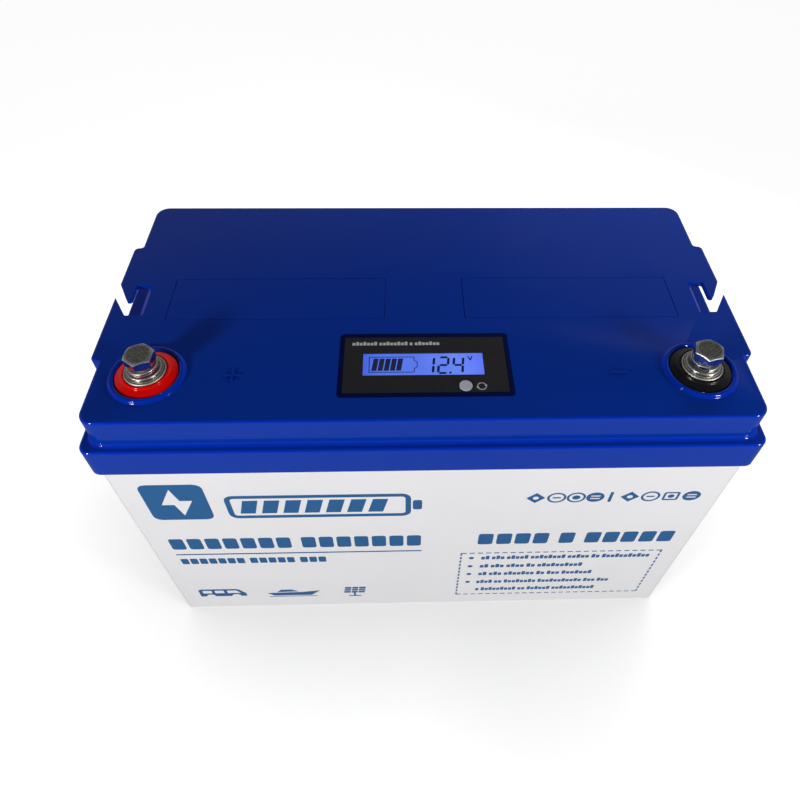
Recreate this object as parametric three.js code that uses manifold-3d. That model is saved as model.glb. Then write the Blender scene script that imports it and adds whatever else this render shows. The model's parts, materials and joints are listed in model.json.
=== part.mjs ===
// A 12 V deep cycle battery with four flat lithium cells inside, built as separate pieces.
// Millimetres, +Z up. X runs along the long side, Y to the back, the origin is the centre of the base.
import * as THREE from "three";
import { mergeVertices } from "three/addons/utils/BufferGeometryUtils.js";
import Module from "manifold-3d";

const wasm = await Module();
wasm.setup();

// ---- driving dimensions -------------------------------------------------------------------

const LENGTH = 332;
const WIDTH = 174;
const LID_TOP = 212;
const FIT = 0.3; // clearance between neighbouring pieces
const SEAT = 0.05; // clearance under a piece that rests on another
const ROUND = 24; // facets of a visible round part
const SMALL = 12; // facets of a small or hidden round part

const CASE = { top: 188, inset: 2.8, draft: 1, wall: 2.5, floor: 2.5, corner: 4 };
const FLANGE = { bottom: 175.5, top: 194.2, edge: 1.4, corner: 6 };
const BLOCK = { halfX: 161.3, halfY: 82.8, corner: 7.5, edge: 1.5, foot: 2.2 };
const TAB = { halfX: LENGTH / 2, halfY: 44, corner: 3, thick: 3 };
const RECESS = { wallX: 148.5, halfY: 41, sweep: 8.5 };
const SLOT = { topX: 147.6, underX: 150.6, tip: { x: 158.25, y: 1, radius: 1.45 } };
const LID_WALL = 3;
const STRIP = { length: 114, width: 31.6, centreX: 78.3, thick: 1.2, pocket: 1.5 };
const MARK = { x: 94.3, y: -54.7, arm: 4, thick: 1.1, high: 0.4 };

const TERMINAL = { x: 135.2, y: -54 };
const RIM = { outer: 18, inner: 15.3, high: 2 };
const POST = { head: 10, land: 8.6, shank: 7, top: 216.4, bottom: 191, bore: 4.3, boreEnd: 204 };
const WASHER = { radius: 8.2, hole: 4.3, thick: 1.6 };
const SPRING = { outer: 7.25, inner: 4.3, thick: 2, high: 4, split: 7 };
const BOLT = { acrossFlats: 13, head: 5.3, shank: 4, length: 16 };

const DISPLAY = { x: -0.8, y: -48.2, length: 85, width: 41.5, plateLength: 80.5, plateWidth: 36.4 };
const WINDOW = { x: -1.65, y: -48.05, length: 59.9, width: 14.9 };
const BUTTON = { x: 18.4, y: -62.6, radius: 3.2, top: 212.7, flange: 210.5 };
const HOUSING = { length: 78.8, width: 37.4, wall: 1.2, bottom: 200, top: 210.8 };
const PCB = { bottom: 204.9, thick: 1.6 };
const PLATE_BOTTOM = LID_TOP - 0.7; // underside of the faceplate and window

const CELL = { thick: 49.4, width: 160, high: 115.5, pitch: 50.6, corner: 2, floor: 6 };
const CELL_BOSS = { y: 42, radius: 8, high: 3 };
const END_PLATE = { thick: 3, width: 158, high: 115 };
const STRAP = { thick: 0.35, high: 14, levels: [30, 85] };
const BUSBAR = { width: 18, thick: 2, arch: 4 };
const TRAY = { length: 210, width: 110, bottom: 132, thick: 2 };
const BMS = { length: 150, width: 86, thick: 1.6, bottom: 139 };
const CABLE_RADIUS = 4;

// ---- shapes and solids --------------------------------------------------------------------

/** A closed geometry as a solid that can be joined and cut. */
function solid(geometry) {
  const bare = geometry.clone();
  bare.deleteAttribute("normal");
  bare.deleteAttribute("uv");
  const merged = mergeVertices(bare, 1e-4);
  const corners = merged.index.array;
  const triVerts = [];
  for (let i = 0; i < corners.length; i += 3) {
    const [a, b, c] = corners.slice(i, i + 3);
    if (a !== b && b !== c && c !== a) triVerts.push(a, b, c);
  }
  return new wasm.Manifold(
    new wasm.Mesh({
      numProp: 3,
      vertProperties: new Float32Array(merged.getAttribute("position").array),
      triVerts: new Uint32Array(triVerts),
    }),
  );
}

/** The surface of a solid as a geometry. */
function surface(body) {
  const mesh = body.getMesh();
  const geometry = new THREE.BufferGeometry();
  geometry.setAttribute("position", new THREE.BufferAttribute(mesh.vertProperties, 3));
  geometry.setIndex(new THREE.BufferAttribute(mesh.triVerts, 1));
  return geometry;
}

/** Anticlockwise outline with square turns, each rounded; corners are [x, y, radius]. */
function squareOutline(corners, steps = 4) {
  const points = [];
  corners.forEach(([x, y, radius], i) => {
    const here = new THREE.Vector2(x, y);
    const before = corners.at(i - 1);
    const after = corners[(i + 1) % corners.length];
    const arriving = here.clone().sub(new THREE.Vector2(before[0], before[1])).normalize();
    const leaving = new THREE.Vector2(after[0], after[1]).sub(here).normalize();
    const centre = here.clone().addScaledVector(arriving, -radius).addScaledVector(leaving, radius);
    for (let k = 0; k <= steps; k++) {
      const turn = (k / steps) * (Math.PI / 2);
      const point = centre.clone().addScaledVector(leaving, -radius * Math.cos(turn));
      points.push(point.addScaledVector(arriving, radius * Math.sin(turn)));
    }
  });
  return points;
}

/** Rounded rectangle about a centre. */
function rectangle(length, width, radius, x = 0, y = 0, steps = 4) {
  const a = length / 2;
  const b = width / 2;
  const corners = [
    [x - a, y - b, radius],
    [x + a, y - b, radius],
    [x + a, y + b, radius],
    [x - a, y + b, radius],
  ];
  return squareOutline(corners, steps);
}

/** Closed skin through matching outlines, the lowest first. */
function loft(layers) {
  const count = layers[0].points.length;
  const positions = layers.flatMap(({ z, points }) => points.flatMap((p) => [p.x, p.y, z]));
  const index = [];
  for (let k = 0; k < layers.length - 1; k++) {
    for (let i = 0; i < count; i++) {
      const a = k * count + i;
      const b = k * count + ((i + 1) % count);
      index.push(a, b, b + count, a, b + count, a + count);
    }
  }
  const last = (layers.length - 1) * count;
  for (const [a, b, c] of THREE.ShapeUtils.triangulateShape(layers[0].points, [])) {
    index.push(a, c, b);
  }
  for (const [a, b, c] of THREE.ShapeUtils.triangulateShape(layers.at(-1).points, [])) {
    index.push(last + a, last + b, last + c);
  }
  const geometry = new THREE.BufferGeometry();
  geometry.setAttribute("position", new THREE.Float32BufferAttribute(positions, 3));
  geometry.setIndex(index);
  return geometry;
}

/** Upright prism on an outline. */
function prism(points, bottom, top) {
  return loft([
    { z: bottom, points },
    { z: top, points },
  ]);
}

/** Upright block with rounded upright edges; tiny radii become a single chamfer. */
function block(length, width, radius, bottom, top, x = 0, y = 0) {
  const steps = radius < 1 ? 1 : 3;
  return prism(rectangle(length, width, radius, x, y, steps), bottom, top);
}

/** Turned part about an upright axis; the profile holds [radius, height] points. */
function turned(profile, x = 0, y = 0, facets = ROUND) {
  const points = profile.map(([radius, height]) => new THREE.Vector2(radius, height));
  const geometry = new THREE.LatheGeometry(points, facets);
  geometry.rotateX(Math.PI / 2);
  return geometry.translate(x, y, 0);
}

/** Plain upright cylinder. */
function rod(radius, bottom, top, x, y, facets = ROUND) {
  const profile = [
    [0, bottom],
    [radius, bottom],
    [radius, top],
    [0, top],
  ];
  return turned(profile, x, y, facets);
}

/** Upright ring of rectangular section. */
function ring(inner, outer, bottom, top, x, y, facets = ROUND) {
  const profile = [
    [inner, bottom],
    [outer, bottom],
    [outer, top],
    [inner, top],
    [inner, bottom],
  ];
  return turned(profile, x, y, facets);
}

/** Section drawn in X and Z, run from one Y to another. */
function acrossWidth(points, fromY, toY) {
  const shape = new THREE.Shape(points.map(([x, z]) => new THREE.Vector2(x, z)));
  const geometry = new THREE.ExtrudeGeometry(shape, {
    depth: toY - fromY,
    bevelEnabled: false,
  });
  geometry.rotateX(Math.PI / 2);
  return geometry.translate(0, toY, 0);
}

/** Round cable through points. */
function cable(radius, points, steps) {
  const circle = new THREE.Shape();
  circle.absarc(0, 0, radius, 0, Math.PI * 2, false);
  const path = new THREE.CatmullRomCurve3(points.map((p) => new THREE.Vector3(...p)));
  const curveSegments = radius < 2 ? 3 : 5;
  return new THREE.ExtrudeGeometry(circle, { extrudePath: path, steps, curveSegments });
}

/** Upright prism with six equal sides. */
function hexagon(acrossFlats, bottom, top, x, y, turn = 0) {
  const radius = acrossFlats / Math.sqrt(3);
  const points = Array.from({ length: 6 }, (_, i) => {
    const angle = turn + (i * Math.PI) / 3;
    return new THREE.Vector2(x + radius * Math.cos(angle), y + radius * Math.sin(angle));
  });
  return prism(points, bottom, top);
}

/** Layers of a rounded-over top edge: the outline moves in as it rises. */
function roundedEdge(outline, radius, top, steps = 3) {
  return Array.from({ length: steps }, (_, i) => {
    const angle = ((i + 1) / steps) * (Math.PI / 2);
    const inset = radius * (1 - Math.cos(angle));
    return { z: top - radius + radius * Math.sin(angle), points: outline(inset) };
  });
}

// ---- finishes -----------------------------------------------------------------------------

const finish = (color, roughness, metalness = 0) => ({ color, roughness, metalness });
const BLUE_PLASTIC = finish(0x03227c, 0.38);
const WHITE_PLASTIC = finish(0xe6e6e8, 0.5);
const BLACK_PLASTIC = finish(0x151517, 0.45);
const RED_PLASTIC = finish(0xd81408, 0.4);
const GREY_RUBBER = finish(0x8d9096, 0.6);
const BLACK_RUBBER = finish(0x1b1b1c, 0.8);
const STEEL = finish(0xb9bab8, 0.28, 1);
const BRASS = finish(0xbfae82, 0.35, 1);
const COPPER = finish(0xb9714a, 0.35, 1);
const ALUMINIUM = finish(0xc9ccd0, 0.35, 1);
const CELL_BLUE = finish(0x2457a6, 0.45);
const BOARD_GREEN = finish(0x1f6b3a, 0.5);
const FIBRE_BOARD = finish(0xb9a87a, 0.7);
const GREY_FOAM = finish(0x4a4d52, 0.95);
const CLEAR_WINDOW = finish(0xcfd6ff, 0.1);
const LCD_BLUE = finish(0x4c68ee, 0.3);
const DIFFUSER_WHITE = finish(0xf2f4ff, 0.5);
const STRAP_BLACK = finish(0x2b2b2d, 0.6);
const RED_CABLE = finish(0xc41a12, 0.5);
const BLACK_CABLE = finish(0x141414, 0.5);

const battery = new THREE.Group();

/** Adds one named piece to the battery. */
function piece(name, shape, look) {
  const geometry = shape.isBufferGeometry ? shape : surface(shape);
  const mesh = new THREE.Mesh(geometry, new THREE.MeshStandardMaterial(look));
  mesh.name = name;
  battery.add(mesh);
}

// ---- case ---------------------------------------------------------------------------------

/** Open-topped case with slightly leaning walls. */
function makeCase() {
  const { top, inset, draft, wall, floor, corner } = CASE;
  const outline = (extra, radius) =>
    rectangle(LENGTH - 2 * (inset + extra), WIDTH - 2 * (inset + extra), radius);
  const outside = loft([
    { z: 0, points: outline(draft + 0.8, corner) },
    { z: 0.8, points: outline(draft, corner) },
    { z: top, points: outline(0, corner) },
  ]);
  const inside = loft([
    { z: floor, points: outline(draft + wall, corner - wall + 0.5) },
    { z: top + 1, points: outline(wall, corner - wall + 0.5) },
  ]);
  return solid(outside).subtract(solid(inside));
}

/** Rubber seal on the rim of the case. */
function makeLidSeal() {
  const outer = LENGTH - 2 * CASE.inset - 0.4;
  const inner = LENGTH - 2 * (CASE.inset + CASE.wall) + 0.4;
  const shrink = LENGTH - WIDTH;
  const bottom = CASE.top + SEAT;
  const seal = solid(block(outer, outer - shrink, CASE.corner, bottom, bottom + 2));
  return seal.subtract(solid(block(inner, inner - shrink, 2, bottom - 1, bottom + 3)));
}

// ---- lid ----------------------------------------------------------------------------------

/** Rim of the lid that wraps round the top of the case. */
function makeFlange() {
  const outline = (inset) =>
    rectangle(LENGTH - 2 * inset, WIDTH - 2 * inset, FLANGE.corner - inset);
  return loft([
    { z: FLANGE.bottom, points: outline(0.5) },
    { z: FLANGE.bottom + 0.5, points: outline(0) },
    { z: FLANGE.top - FLANGE.edge, points: outline(0) },
    ...roundedEdge(outline, FLANGE.edge, FLANGE.top),
  ]);
}

/** Raised body of the lid below its top plate, with a hollow sweep at the foot. */
function makeRaisedBody() {
  const outline = (outset) =>
    rectangle(2 * (BLOCK.halfX + outset), 2 * (BLOCK.halfY + outset), BLOCK.corner + outset);
  const layers = [{ z: FLANGE.top - 2, points: outline(BLOCK.foot) }];
  const steps = 3;
  for (let i = 0; i <= steps; i++) {
    const angle = (i / steps) * (Math.PI / 2);
    const z = FLANGE.top + BLOCK.foot * (1 - Math.cos(angle));
    layers.push({ z, points: outline(BLOCK.foot * (1 - Math.sin(angle))) });
  }
  layers.push({ z: LID_TOP - TAB.thick + 0.5, points: outline(0) });
  return loft(layers);
}

/** Corners of the top plate: the raised body with a grip tab standing out at each end. */
function plateCorners(inset) {
  const tabX = TAB.halfX - inset;
  const tabY = TAB.halfY - inset;
  const endX = BLOCK.halfX - inset;
  const sideY = BLOCK.halfY - inset;
  const outward = Math.max(TAB.corner - inset, 0.3);
  const inward = 1.5 + inset;
  const quarter = [
    [tabX, tabY, outward],
    [endX, tabY, inward],
    [endX, sideY, BLOCK.corner - inset],
  ];
  const mirrored = (sx, sy, list) => list.map(([x, y, radius]) => [sx * x, sy * y, radius]);
  return [
    ...mirrored(1, 1, quarter),
    ...mirrored(-1, 1, quarter).reverse(),
    ...mirrored(-1, -1, quarter),
    ...mirrored(1, -1, quarter).reverse(),
  ];
}

function makeTopPlate() {
  const outline = (inset) => squareOutline(plateCorners(inset));
  return loft([
    { z: LID_TOP - TAB.thick, points: outline(0.3) },
    { z: LID_TOP - TAB.thick + 0.3, points: outline(0) },
    { z: LID_TOP - BLOCK.edge, points: outline(0) },
    ...roundedEdge(outline, BLOCK.edge, LID_TOP),
  ]);
}

/** Upright bar through the lid whose ends, once hollowed, are the side walls of the grip tabs. */
function makeTabBody() {
  const length = 2 * (TAB.halfX - 0.2);
  const width = 2 * (TAB.halfY - 0.2);
  return block(length, width, TAB.corner, FLANGE.top - 1, LID_TOP - TAB.thick + 0.5);
}

/** Hollow under a grip tab: an upright back wall that sweeps out onto the flange. */
function makeRecess(side) {
  const { wallX, halfY, sweep } = RECESS;
  const floor = FLANGE.top;
  const section = [
    [side * (TAB.halfX + 5), floor - 3],
    [side * (TAB.halfX + 5), LID_TOP - TAB.thick + 1],
    [side * wallX, LID_TOP - TAB.thick + 1],
  ];
  const steps = 5;
  for (let i = 0; i <= steps; i++) {
    const angle = (i / steps) * (Math.PI / 2);
    const x = wallX + sweep * (1 - Math.cos(angle));
    section.push([side * x, floor + sweep * (1 - Math.sin(angle))]);
  }
  section.push([side * (wallX + sweep), floor - 3]);
  return acrossWidth(side > 0 ? section.reverse() : section, -halfY, halfY);
}

/** Hook-shaped slot in a grip tab: a pocket with a sloping inner side and a slanted way out. */
function makeHookSlot(side) {
  const { topX, underX, tip } = SLOT;
  const outline = (innerX) => {
    const shape = new THREE.Shape();
    shape.moveTo(innerX, -12.5);
    shape.lineTo(157.1, -12.5);
    shape.lineTo(168, 5.6);
    shape.lineTo(168, 17.1);
    shape.absarc(tip.x, tip.y, tip.radius, -0.468, -Math.PI, true);
    shape.lineTo(156.8, 9.9);
    shape.quadraticCurveTo(156.8, 11.4, 155.3, 11.4);
    shape.lineTo(innerX + 1, 11.4);
    shape.quadraticCurveTo(innerX, 11.4, innerX, 10.4);
    const points = shape.getPoints(3).map((p) => new THREE.Vector2(side * p.x, p.y));
    return side > 0 ? points : points.reverse();
  };
  return loft([
    { z: LID_TOP - TAB.thick - 2, points: outline(underX) },
    { z: LID_TOP - TAB.thick, points: outline(underX) },
    { z: LID_TOP, points: outline(topX) },
    { z: LID_TOP + 1, points: outline(topX) },
  ]);
}

/** Inside of the lid, kept clear of the recesses under the tabs. */
function makeLidHollow() {
  const endX = BLOCK.halfX - LID_WALL;
  const sideY = BLOCK.halfY - LID_WALL;
  const waistX = RECESS.wallX - LID_WALL;
  const waistY = RECESS.halfY + LID_WALL;
  const quarter = [
    [waistX, waistY, 2],
    [endX, waistY, 2],
    [endX, sideY, 3],
  ];
  const mirrored = (sx, sy) => quarter.map(([x, y, radius]) => [sx * x, sy * y, radius]);
  const corners = [
    ...mirrored(1, 1),
    ...mirrored(-1, 1).reverse(),
    ...mirrored(-1, -1),
    ...mirrored(1, -1).reverse(),
  ];
  const upper = prism(squareOutline(corners, 2), 185, LID_TOP - LID_WALL);
  const gap = 2 * (CASE.inset - FIT);
  const lower = block(LENGTH - gap, WIDTH - gap, CASE.corner + 0.3, FLANGE.bottom - 1, 190.5);
  return solid(upper).add(solid(lower));
}

/** Raised rim round a terminal. */
function makeRim(side) {
  const middle = (RIM.outer + RIM.inner) / 2;
  const half = (RIM.outer - RIM.inner) / 2;
  const profile = [[RIM.inner, LID_TOP - 1]];
  profile.push([RIM.outer, LID_TOP - 1]);
  const steps = 5;
  for (let i = 0; i <= steps; i++) {
    const angle = (i / steps) * Math.PI;
    const height = LID_TOP + (RIM.high - half) + half * Math.sin(angle);
    profile.push([middle + half * Math.cos(angle), height]);
  }
  profile.push([RIM.inner, LID_TOP - 1]);
  return turned(profile, side * TERMINAL.x, TERMINAL.y);
}

/** Raised plus at the positive end, minus at the negative end. */
function makeMark(side) {
  const { x, y, arm, thick, high } = MARK;
  const bar = (length, width) =>
    solid(block(length, width, 0.3, LID_TOP - 0.5, LID_TOP + high, side * x, y));
  const level = bar(2 * arm, thick);
  return side < 0 ? level.add(bar(thick, 2 * arm)) : level;
}

function makeLid() {
  let lid = solid(makeRaisedBody()).add(solid(makeTabBody()));
  lid = lid.subtract(solid(makeRecess(-1))).subtract(solid(makeRecess(1)));
  lid = lid.add(solid(makeFlange())).add(solid(makeTopPlate()));
  lid = lid.subtract(makeLidHollow());
  for (const side of [-1, 1]) {
    const x = side * TERMINAL.x;
    const boss = solid(rod(RIM.outer - 1, 203, LID_TOP - 1, x, TERMINAL.y));
    const pocket = solid(rod(RIM.inner, LID_TOP - 2, LID_TOP + 3, x, TERMINAL.y));
    const hole = solid(rod(POST.shank + FIT, 200, LID_TOP, x, TERMINAL.y));
    const strip = block(
      STRIP.length + 2 * FIT,
      STRIP.width + 2 * FIT,
      1.3,
      LID_TOP - STRIP.pocket,
      LID_TOP + 1,
      side * STRIP.centreX,
    );
    lid = lid.add(boss).subtract(pocket).add(solid(makeRim(side))).subtract(hole);
    lid = lid.subtract(solid(makeHookSlot(side))).subtract(solid(strip)).add(makeMark(side));
  }
  const { x, y, length, width } = DISPLAY;
  const seat = block(length + 0.4, width + 0.4, 2.2, LID_TOP - 1, LID_TOP + 1, x, y);
  const through = block(HOUSING.length + 0.6, HOUSING.width + 0.6, 1.5, 205, LID_TOP + 1, x, y);
  return lid.subtract(solid(seat)).subtract(solid(through));
}

/** Flush cover plate in the top of the lid. */
function makeCoverStrip(side) {
  const bottom = LID_TOP - STRIP.pocket + 0.25;
  return block(STRIP.length, STRIP.width, 1, bottom, bottom + STRIP.thick, side * STRIP.centreX);
}

// ---- terminals ----------------------------------------------------------------------------

/** Coloured ring that fills the rim round a terminal and rises to a collar. */
function makeInsert(side) {
  const bottom = LID_TOP - 2 + SEAT;
  const bore = POST.head + FIT;
  const outer = RIM.inner - FIT;
  const profile = [
    [bore, bottom],
    [outer, bottom],
    [outer, LID_TOP + 1.2],
    [12.2, LID_TOP + 2.2],
    [11.6, LID_TOP + 3.2],
    [11, LID_TOP + 3.6],
    [bore, LID_TOP + 3.6],
    [bore, bottom],
  ];
  return turned(profile, side * TERMINAL.x, TERMINAL.y);
}

/** Metal terminal post: a round head on a shank, bored from above and from below. */
function makePost(side) {
  const { head, land, shank, top, bottom, bore, boreEnd } = POST;
  const headBottom = LID_TOP - 2 + SEAT;
  const outside = turned(
    [
      [0, bottom],
      [shank, bottom],
      [shank, headBottom],
      [head, headBottom],
      [head, top - 0.6],
      [head - 0.5, top - 0.1],
      [land, top - 0.1],
      [land, top],
      [0, top],
    ],
    side * TERMINAL.x,
    TERMINAL.y,
  );
  const upper = rod(bore, boreEnd, top + 1, side * TERMINAL.x, TERMINAL.y);
  const lower = rod(3.3, bottom - 1, 201, side * TERMINAL.x, TERMINAL.y, SMALL);
  return solid(outside).subtract(solid(upper)).subtract(solid(lower));
}

/** Nut that clamps the post to the boss under the lid. */
function makePostNut(side) {
  const x = side * TERMINAL.x;
  const nut = solid(hexagon(22, 196, 203 - SEAT, x, TERMINAL.y));
  return nut.subtract(solid(rod(POST.shank + FIT, 190, 210, x, TERMINAL.y)));
}

/** Ring lug of a cable under the post, with its crimp barrel. */
function makeCableLug(side) {
  const x = side * TERMINAL.x;
  const top = POST.bottom - SEAT;
  const eye = solid(rod(9, top - 2, top, x, TERMINAL.y));
  const neck = solid(block(14, 9, 1, top - 2, top, x - side * 11, TERMINAL.y));
  const barrel = new THREE.CylinderGeometry(5, 5, 13, SMALL);
  barrel.rotateZ(Math.PI / 2).translate(x - side * 19, TERMINAL.y, top - 3.5);
  const hole = solid(rod(3.3, top - 3, top + 1, x, TERMINAL.y, SMALL));
  return eye.add(neck).add(solid(barrel)).subtract(hole);
}

/** Screw that holds the cable lug against the post. */
function makeLugScrew(side) {
  const x = side * TERMINAL.x;
  const headTop = POST.bottom - 2 - 2 * SEAT;
  const head = solid(hexagon(10, headTop - 4, headTop, x, TERMINAL.y));
  return head.add(solid(rod(3, headTop - 1, 199.5, x, TERMINAL.y, SMALL)));
}

function makeFlatWasher(side) {
  const bottom = POST.top + SEAT;
  const { hole, radius, thick } = WASHER;
  return ring(hole, radius, bottom, bottom + thick - SEAT, side * TERMINAL.x, TERMINAL.y);
}

/** Split spring washer: a square wire wound for not quite one turn of a steep thread. */
function makeSpringWasher(side) {
  const { outer, inner, thick, high, split } = SPRING;
  const bottom = POST.top + WASHER.thick + SEAT;
  const rise = high - thick - 2 * SEAT;
  const gap = THREE.MathUtils.degToRad(split);
  const start = THREE.MathUtils.degToRad(side < 0 ? -200 : -96);
  const sections = 22;
  const positions = [];
  for (let i = 0; i <= sections; i++) {
    const part = i / sections;
    const angle = start + gap / 2 + part * (2 * Math.PI - gap);
    const low = bottom + rise * part;
    for (const [radius, z] of [
      [inner, low],
      [outer, low],
      [outer, low + thick],
      [inner, low + thick],
    ]) {
      positions.push(radius * Math.cos(angle), radius * Math.sin(angle), z);
    }
  }
  const index = [0, 1, 2, 0, 2, 3];
  for (let i = 0; i < sections; i++) {
    for (let k = 0; k < 4; k++) {
      const a = 4 * i + k;
      const b = 4 * i + ((k + 1) % 4);
      index.push(a, b + 4, b, a, a + 4, b + 4);
    }
  }
  const end = 4 * sections;
  index.push(end, end + 2, end + 1, end, end + 3, end + 2);
  const geometry = new THREE.BufferGeometry();
  geometry.setAttribute("position", new THREE.Float32BufferAttribute(positions, 3));
  geometry.setIndex(index);
  return geometry.translate(side * TERMINAL.x, TERMINAL.y, 0);
}

/** Hexagon head bolt; its shank is plain and runs in a clearance bore. */
function makeBolt(side) {
  const x = side * TERMINAL.x;
  const { acrossFlats, head, shank, length } = BOLT;
  const seat = POST.top + WASHER.thick + SPRING.high;
  const turn = THREE.MathUtils.degToRad(side < 0 ? 24.3 : 13);
  const flat = acrossFlats / 2;
  const chamfer = turned(
    [
      [0, seat],
      [flat * 1.2, seat],
      [flat * 1.2, seat + head - 1],
      [flat * 0.93, seat + head],
      [0, seat + head],
    ],
    x,
    TERMINAL.y,
  );
  const hex = solid(hexagon(acrossFlats, seat, seat + head, x, TERMINAL.y, turn));
  const stem = turned(
    [
      [0, seat - length],
      [shank - 0.8, seat - length],
      [shank, seat - length + 0.8],
      [shank, seat + 1],
      [0, seat + 1],
    ],
    x,
    TERMINAL.y,
    ROUND,
  );
  return hex.intersect(solid(chamfer)).add(solid(stem));
}

// ---- display ------------------------------------------------------------------------------

function makeBezel() {
  const { x, y, length, width, plateLength, plateWidth } = DISPLAY;
  const frame = solid(block(length, width, 2, LID_TOP - 1 + SEAT, LID_TOP + 0.15, x, y));
  const opening = block(plateLength + 0.4, plateWidth + 0.4, 0.8, 205, LID_TOP + 2, x, y);
  return frame.subtract(solid(opening));
}

/** Black plate of the display, open over the screen and the button. */
function makeFaceplate() {
  const { x, y, plateLength, plateWidth } = DISPLAY;
  const plate = solid(block(plateLength, plateWidth, 0.6, PLATE_BOTTOM, LID_TOP + 0.1, x, y));
  const opening = block(WINDOW.length, WINDOW.width, 0.4, 205, LID_TOP + 2, WINDOW.x, WINDOW.y);
  const hole = rod(BUTTON.radius + 0.25, 205, LID_TOP + 2, BUTTON.x, BUTTON.y);
  return plate.subtract(solid(opening)).subtract(solid(hole));
}

function makeWindow() {
  const { x, y, length, width } = WINDOW;
  return block(length - 0.4, width - 0.4, 0.3, PLATE_BOTTOM, LID_TOP + 0.05, x, y);
}

/** Layer of the screen, centred under the window. */
function makeScreenLayer(bottom, thick) {
  return block(64, 20, 0.3, bottom, bottom + thick, WINDOW.x, WINDOW.y);
}

function makeDisplayBoard() {
  const { length, width, wall } = HOUSING;
  const inner = 2 * wall + 0.4;
  const top = PCB.bottom + PCB.thick;
  return block(length - inner, width - inner, 0.5, PCB.bottom, top, DISPLAY.x, DISPLAY.y);
}

/** Open tray behind the display board, scalloped at the button, with a cable hole in its floor. */
function makeHousing() {
  const { length, width, wall, bottom, top } = HOUSING;
  const tray = solid(block(length, width, 1.5, bottom, top, DISPLAY.x, DISPLAY.y));
  const room = block(
    length - 2 * wall,
    width - 2 * wall,
    0.6,
    bottom + wall,
    top + 1,
    DISPLAY.x,
    DISPLAY.y,
  );
  const exit = rod(3, bottom - 1, bottom + 3, -20, DISPLAY.y, SMALL);
  const scallop = rod(BUTTON.radius + 1.2, 209.5, top + 1, BUTTON.x, BUTTON.y, SMALL);
  return tray.subtract(solid(room)).subtract(solid(exit)).subtract(solid(scallop));
}

/** Push button with a flange that keeps it under the faceplate. */
function makeButton() {
  const { x, y, radius, top, flange } = BUTTON;
  const profile = [
    [0, flange],
    [radius + 0.7, flange],
    [radius + 0.7, PLATE_BOTTOM - 0.2],
    [radius, PLATE_BOTTOM - 0.2],
    [radius, top - 0.5],
    [radius - 0.5, top],
    [0, top],
  ];
  return turned(profile, x, y, 20);
}

function makePlunger() {
  return rod(1.6, 209, BUTTON.flange - SEAT, BUTTON.x, BUTTON.y, SMALL);
}

/** Body of the push switch, bored for its plunger. */
function makeSwitch() {
  const bottom = PCB.bottom + PCB.thick + SEAT;
  const body = solid(block(5.6, 5.6, 0.4, bottom, 209.4, BUTTON.x, BUTTON.y + 0.2));
  return body.subtract(solid(rod(1.9, 208.3, 212, BUTTON.x, BUTTON.y, SMALL)));
}

// ---- cells and pack -----------------------------------------------------------------------

const cellX = (number) => (number - 2.5) * CELL.pitch;
const CELL_TOP = CELL.floor + CELL.high;
const BOSS_TOP = CELL_TOP + CELL_BOSS.high;
const PACK_HALF = 1.5 * CELL.pitch + CELL.thick / 2;

/** Flat cell with two terminal bosses and a safety vent on its top. */
function makeCell(number) {
  const x = cellX(number);
  const { thick, width, corner, floor } = CELL;
  let cell = solid(block(thick, width, corner, floor, CELL_TOP, x));
  for (const y of [-CELL_BOSS.y, CELL_BOSS.y]) {
    cell = cell.add(solid(rod(CELL_BOSS.radius, CELL_TOP - 1, BOSS_TOP, x, y, SMALL)));
  }
  return cell.add(solid(block(10, 20, 4, CELL_TOP - 1, CELL_TOP + 0.6, x)));
}

function makeSpacer(number) {
  const x = cellX(number) + CELL.pitch / 2;
  return block(CELL.pitch - CELL.thick - 0.2, 158, 0.3, CELL.floor, CELL_TOP - 0.5, x);
}

function makeEndPlate(side) {
  const { thick, width, high } = END_PLATE;
  const x = side * (PACK_HALF + SEAT + thick / 2);
  return block(thick, width, 1, CELL.floor, CELL.floor + high, x);
}

/** Band round the cells and end plates. */
function makeStrap(bottom) {
  const length = 2 * (PACK_HALF + END_PLATE.thick + 0.2);
  const width = CELL.width + 0.2;
  const { thick, high } = STRAP;
  const outside = block(length + 2 * thick, width + 2 * thick, 0.6, bottom, bottom + high);
  const inside = block(length, width, 0.3, bottom - 1, bottom + high + 1);
  return solid(outside).subtract(solid(inside));
}

/** Welded link between two neighbouring cells, arched so that the cells can breathe. */
function makeLink(number) {
  const y = number % 2 ? CELL_BOSS.y : -CELL_BOSS.y;
  const left = cellX(number) - CELL_BOSS.radius;
  const right = cellX(number + 1) + CELL_BOSS.radius;
  const middle = (left + right) / 2;
  const { width, thick, arch } = BUSBAR;
  const low = BOSS_TOP + SEAT;
  const rise = 9;
  const top = [
    [right, low + thick],
    [middle + rise + thick / 2, low + thick],
    [middle + rise / 2 + thick / 2, low + thick + arch],
    [middle - rise / 2 - thick / 2, low + thick + arch],
    [middle - rise - thick / 2, low + thick],
    [left, low + thick],
  ];
  const under = [
    [left, low],
    [middle - rise + thick / 4, low],
    [middle - rise / 2 + thick / 4, low + arch],
    [middle + rise / 2 - thick / 4, low + arch],
    [middle + rise - thick / 4, low],
    [right, low],
  ];
  return acrossWidth([...under, ...top], y - width / 2, y + width / 2);
}

/** Welded tab at one end of the chain of cells. */
function makeEndTab(side) {
  const x = side * (Math.abs(cellX(1)) + 8);
  const low = BOSS_TOP + SEAT;
  return block(34, BUSBAR.width, 2, low, low + BUSBAR.thick, x, -CELL_BOSS.y);
}

// ---- battery management -------------------------------------------------------------------

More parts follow.
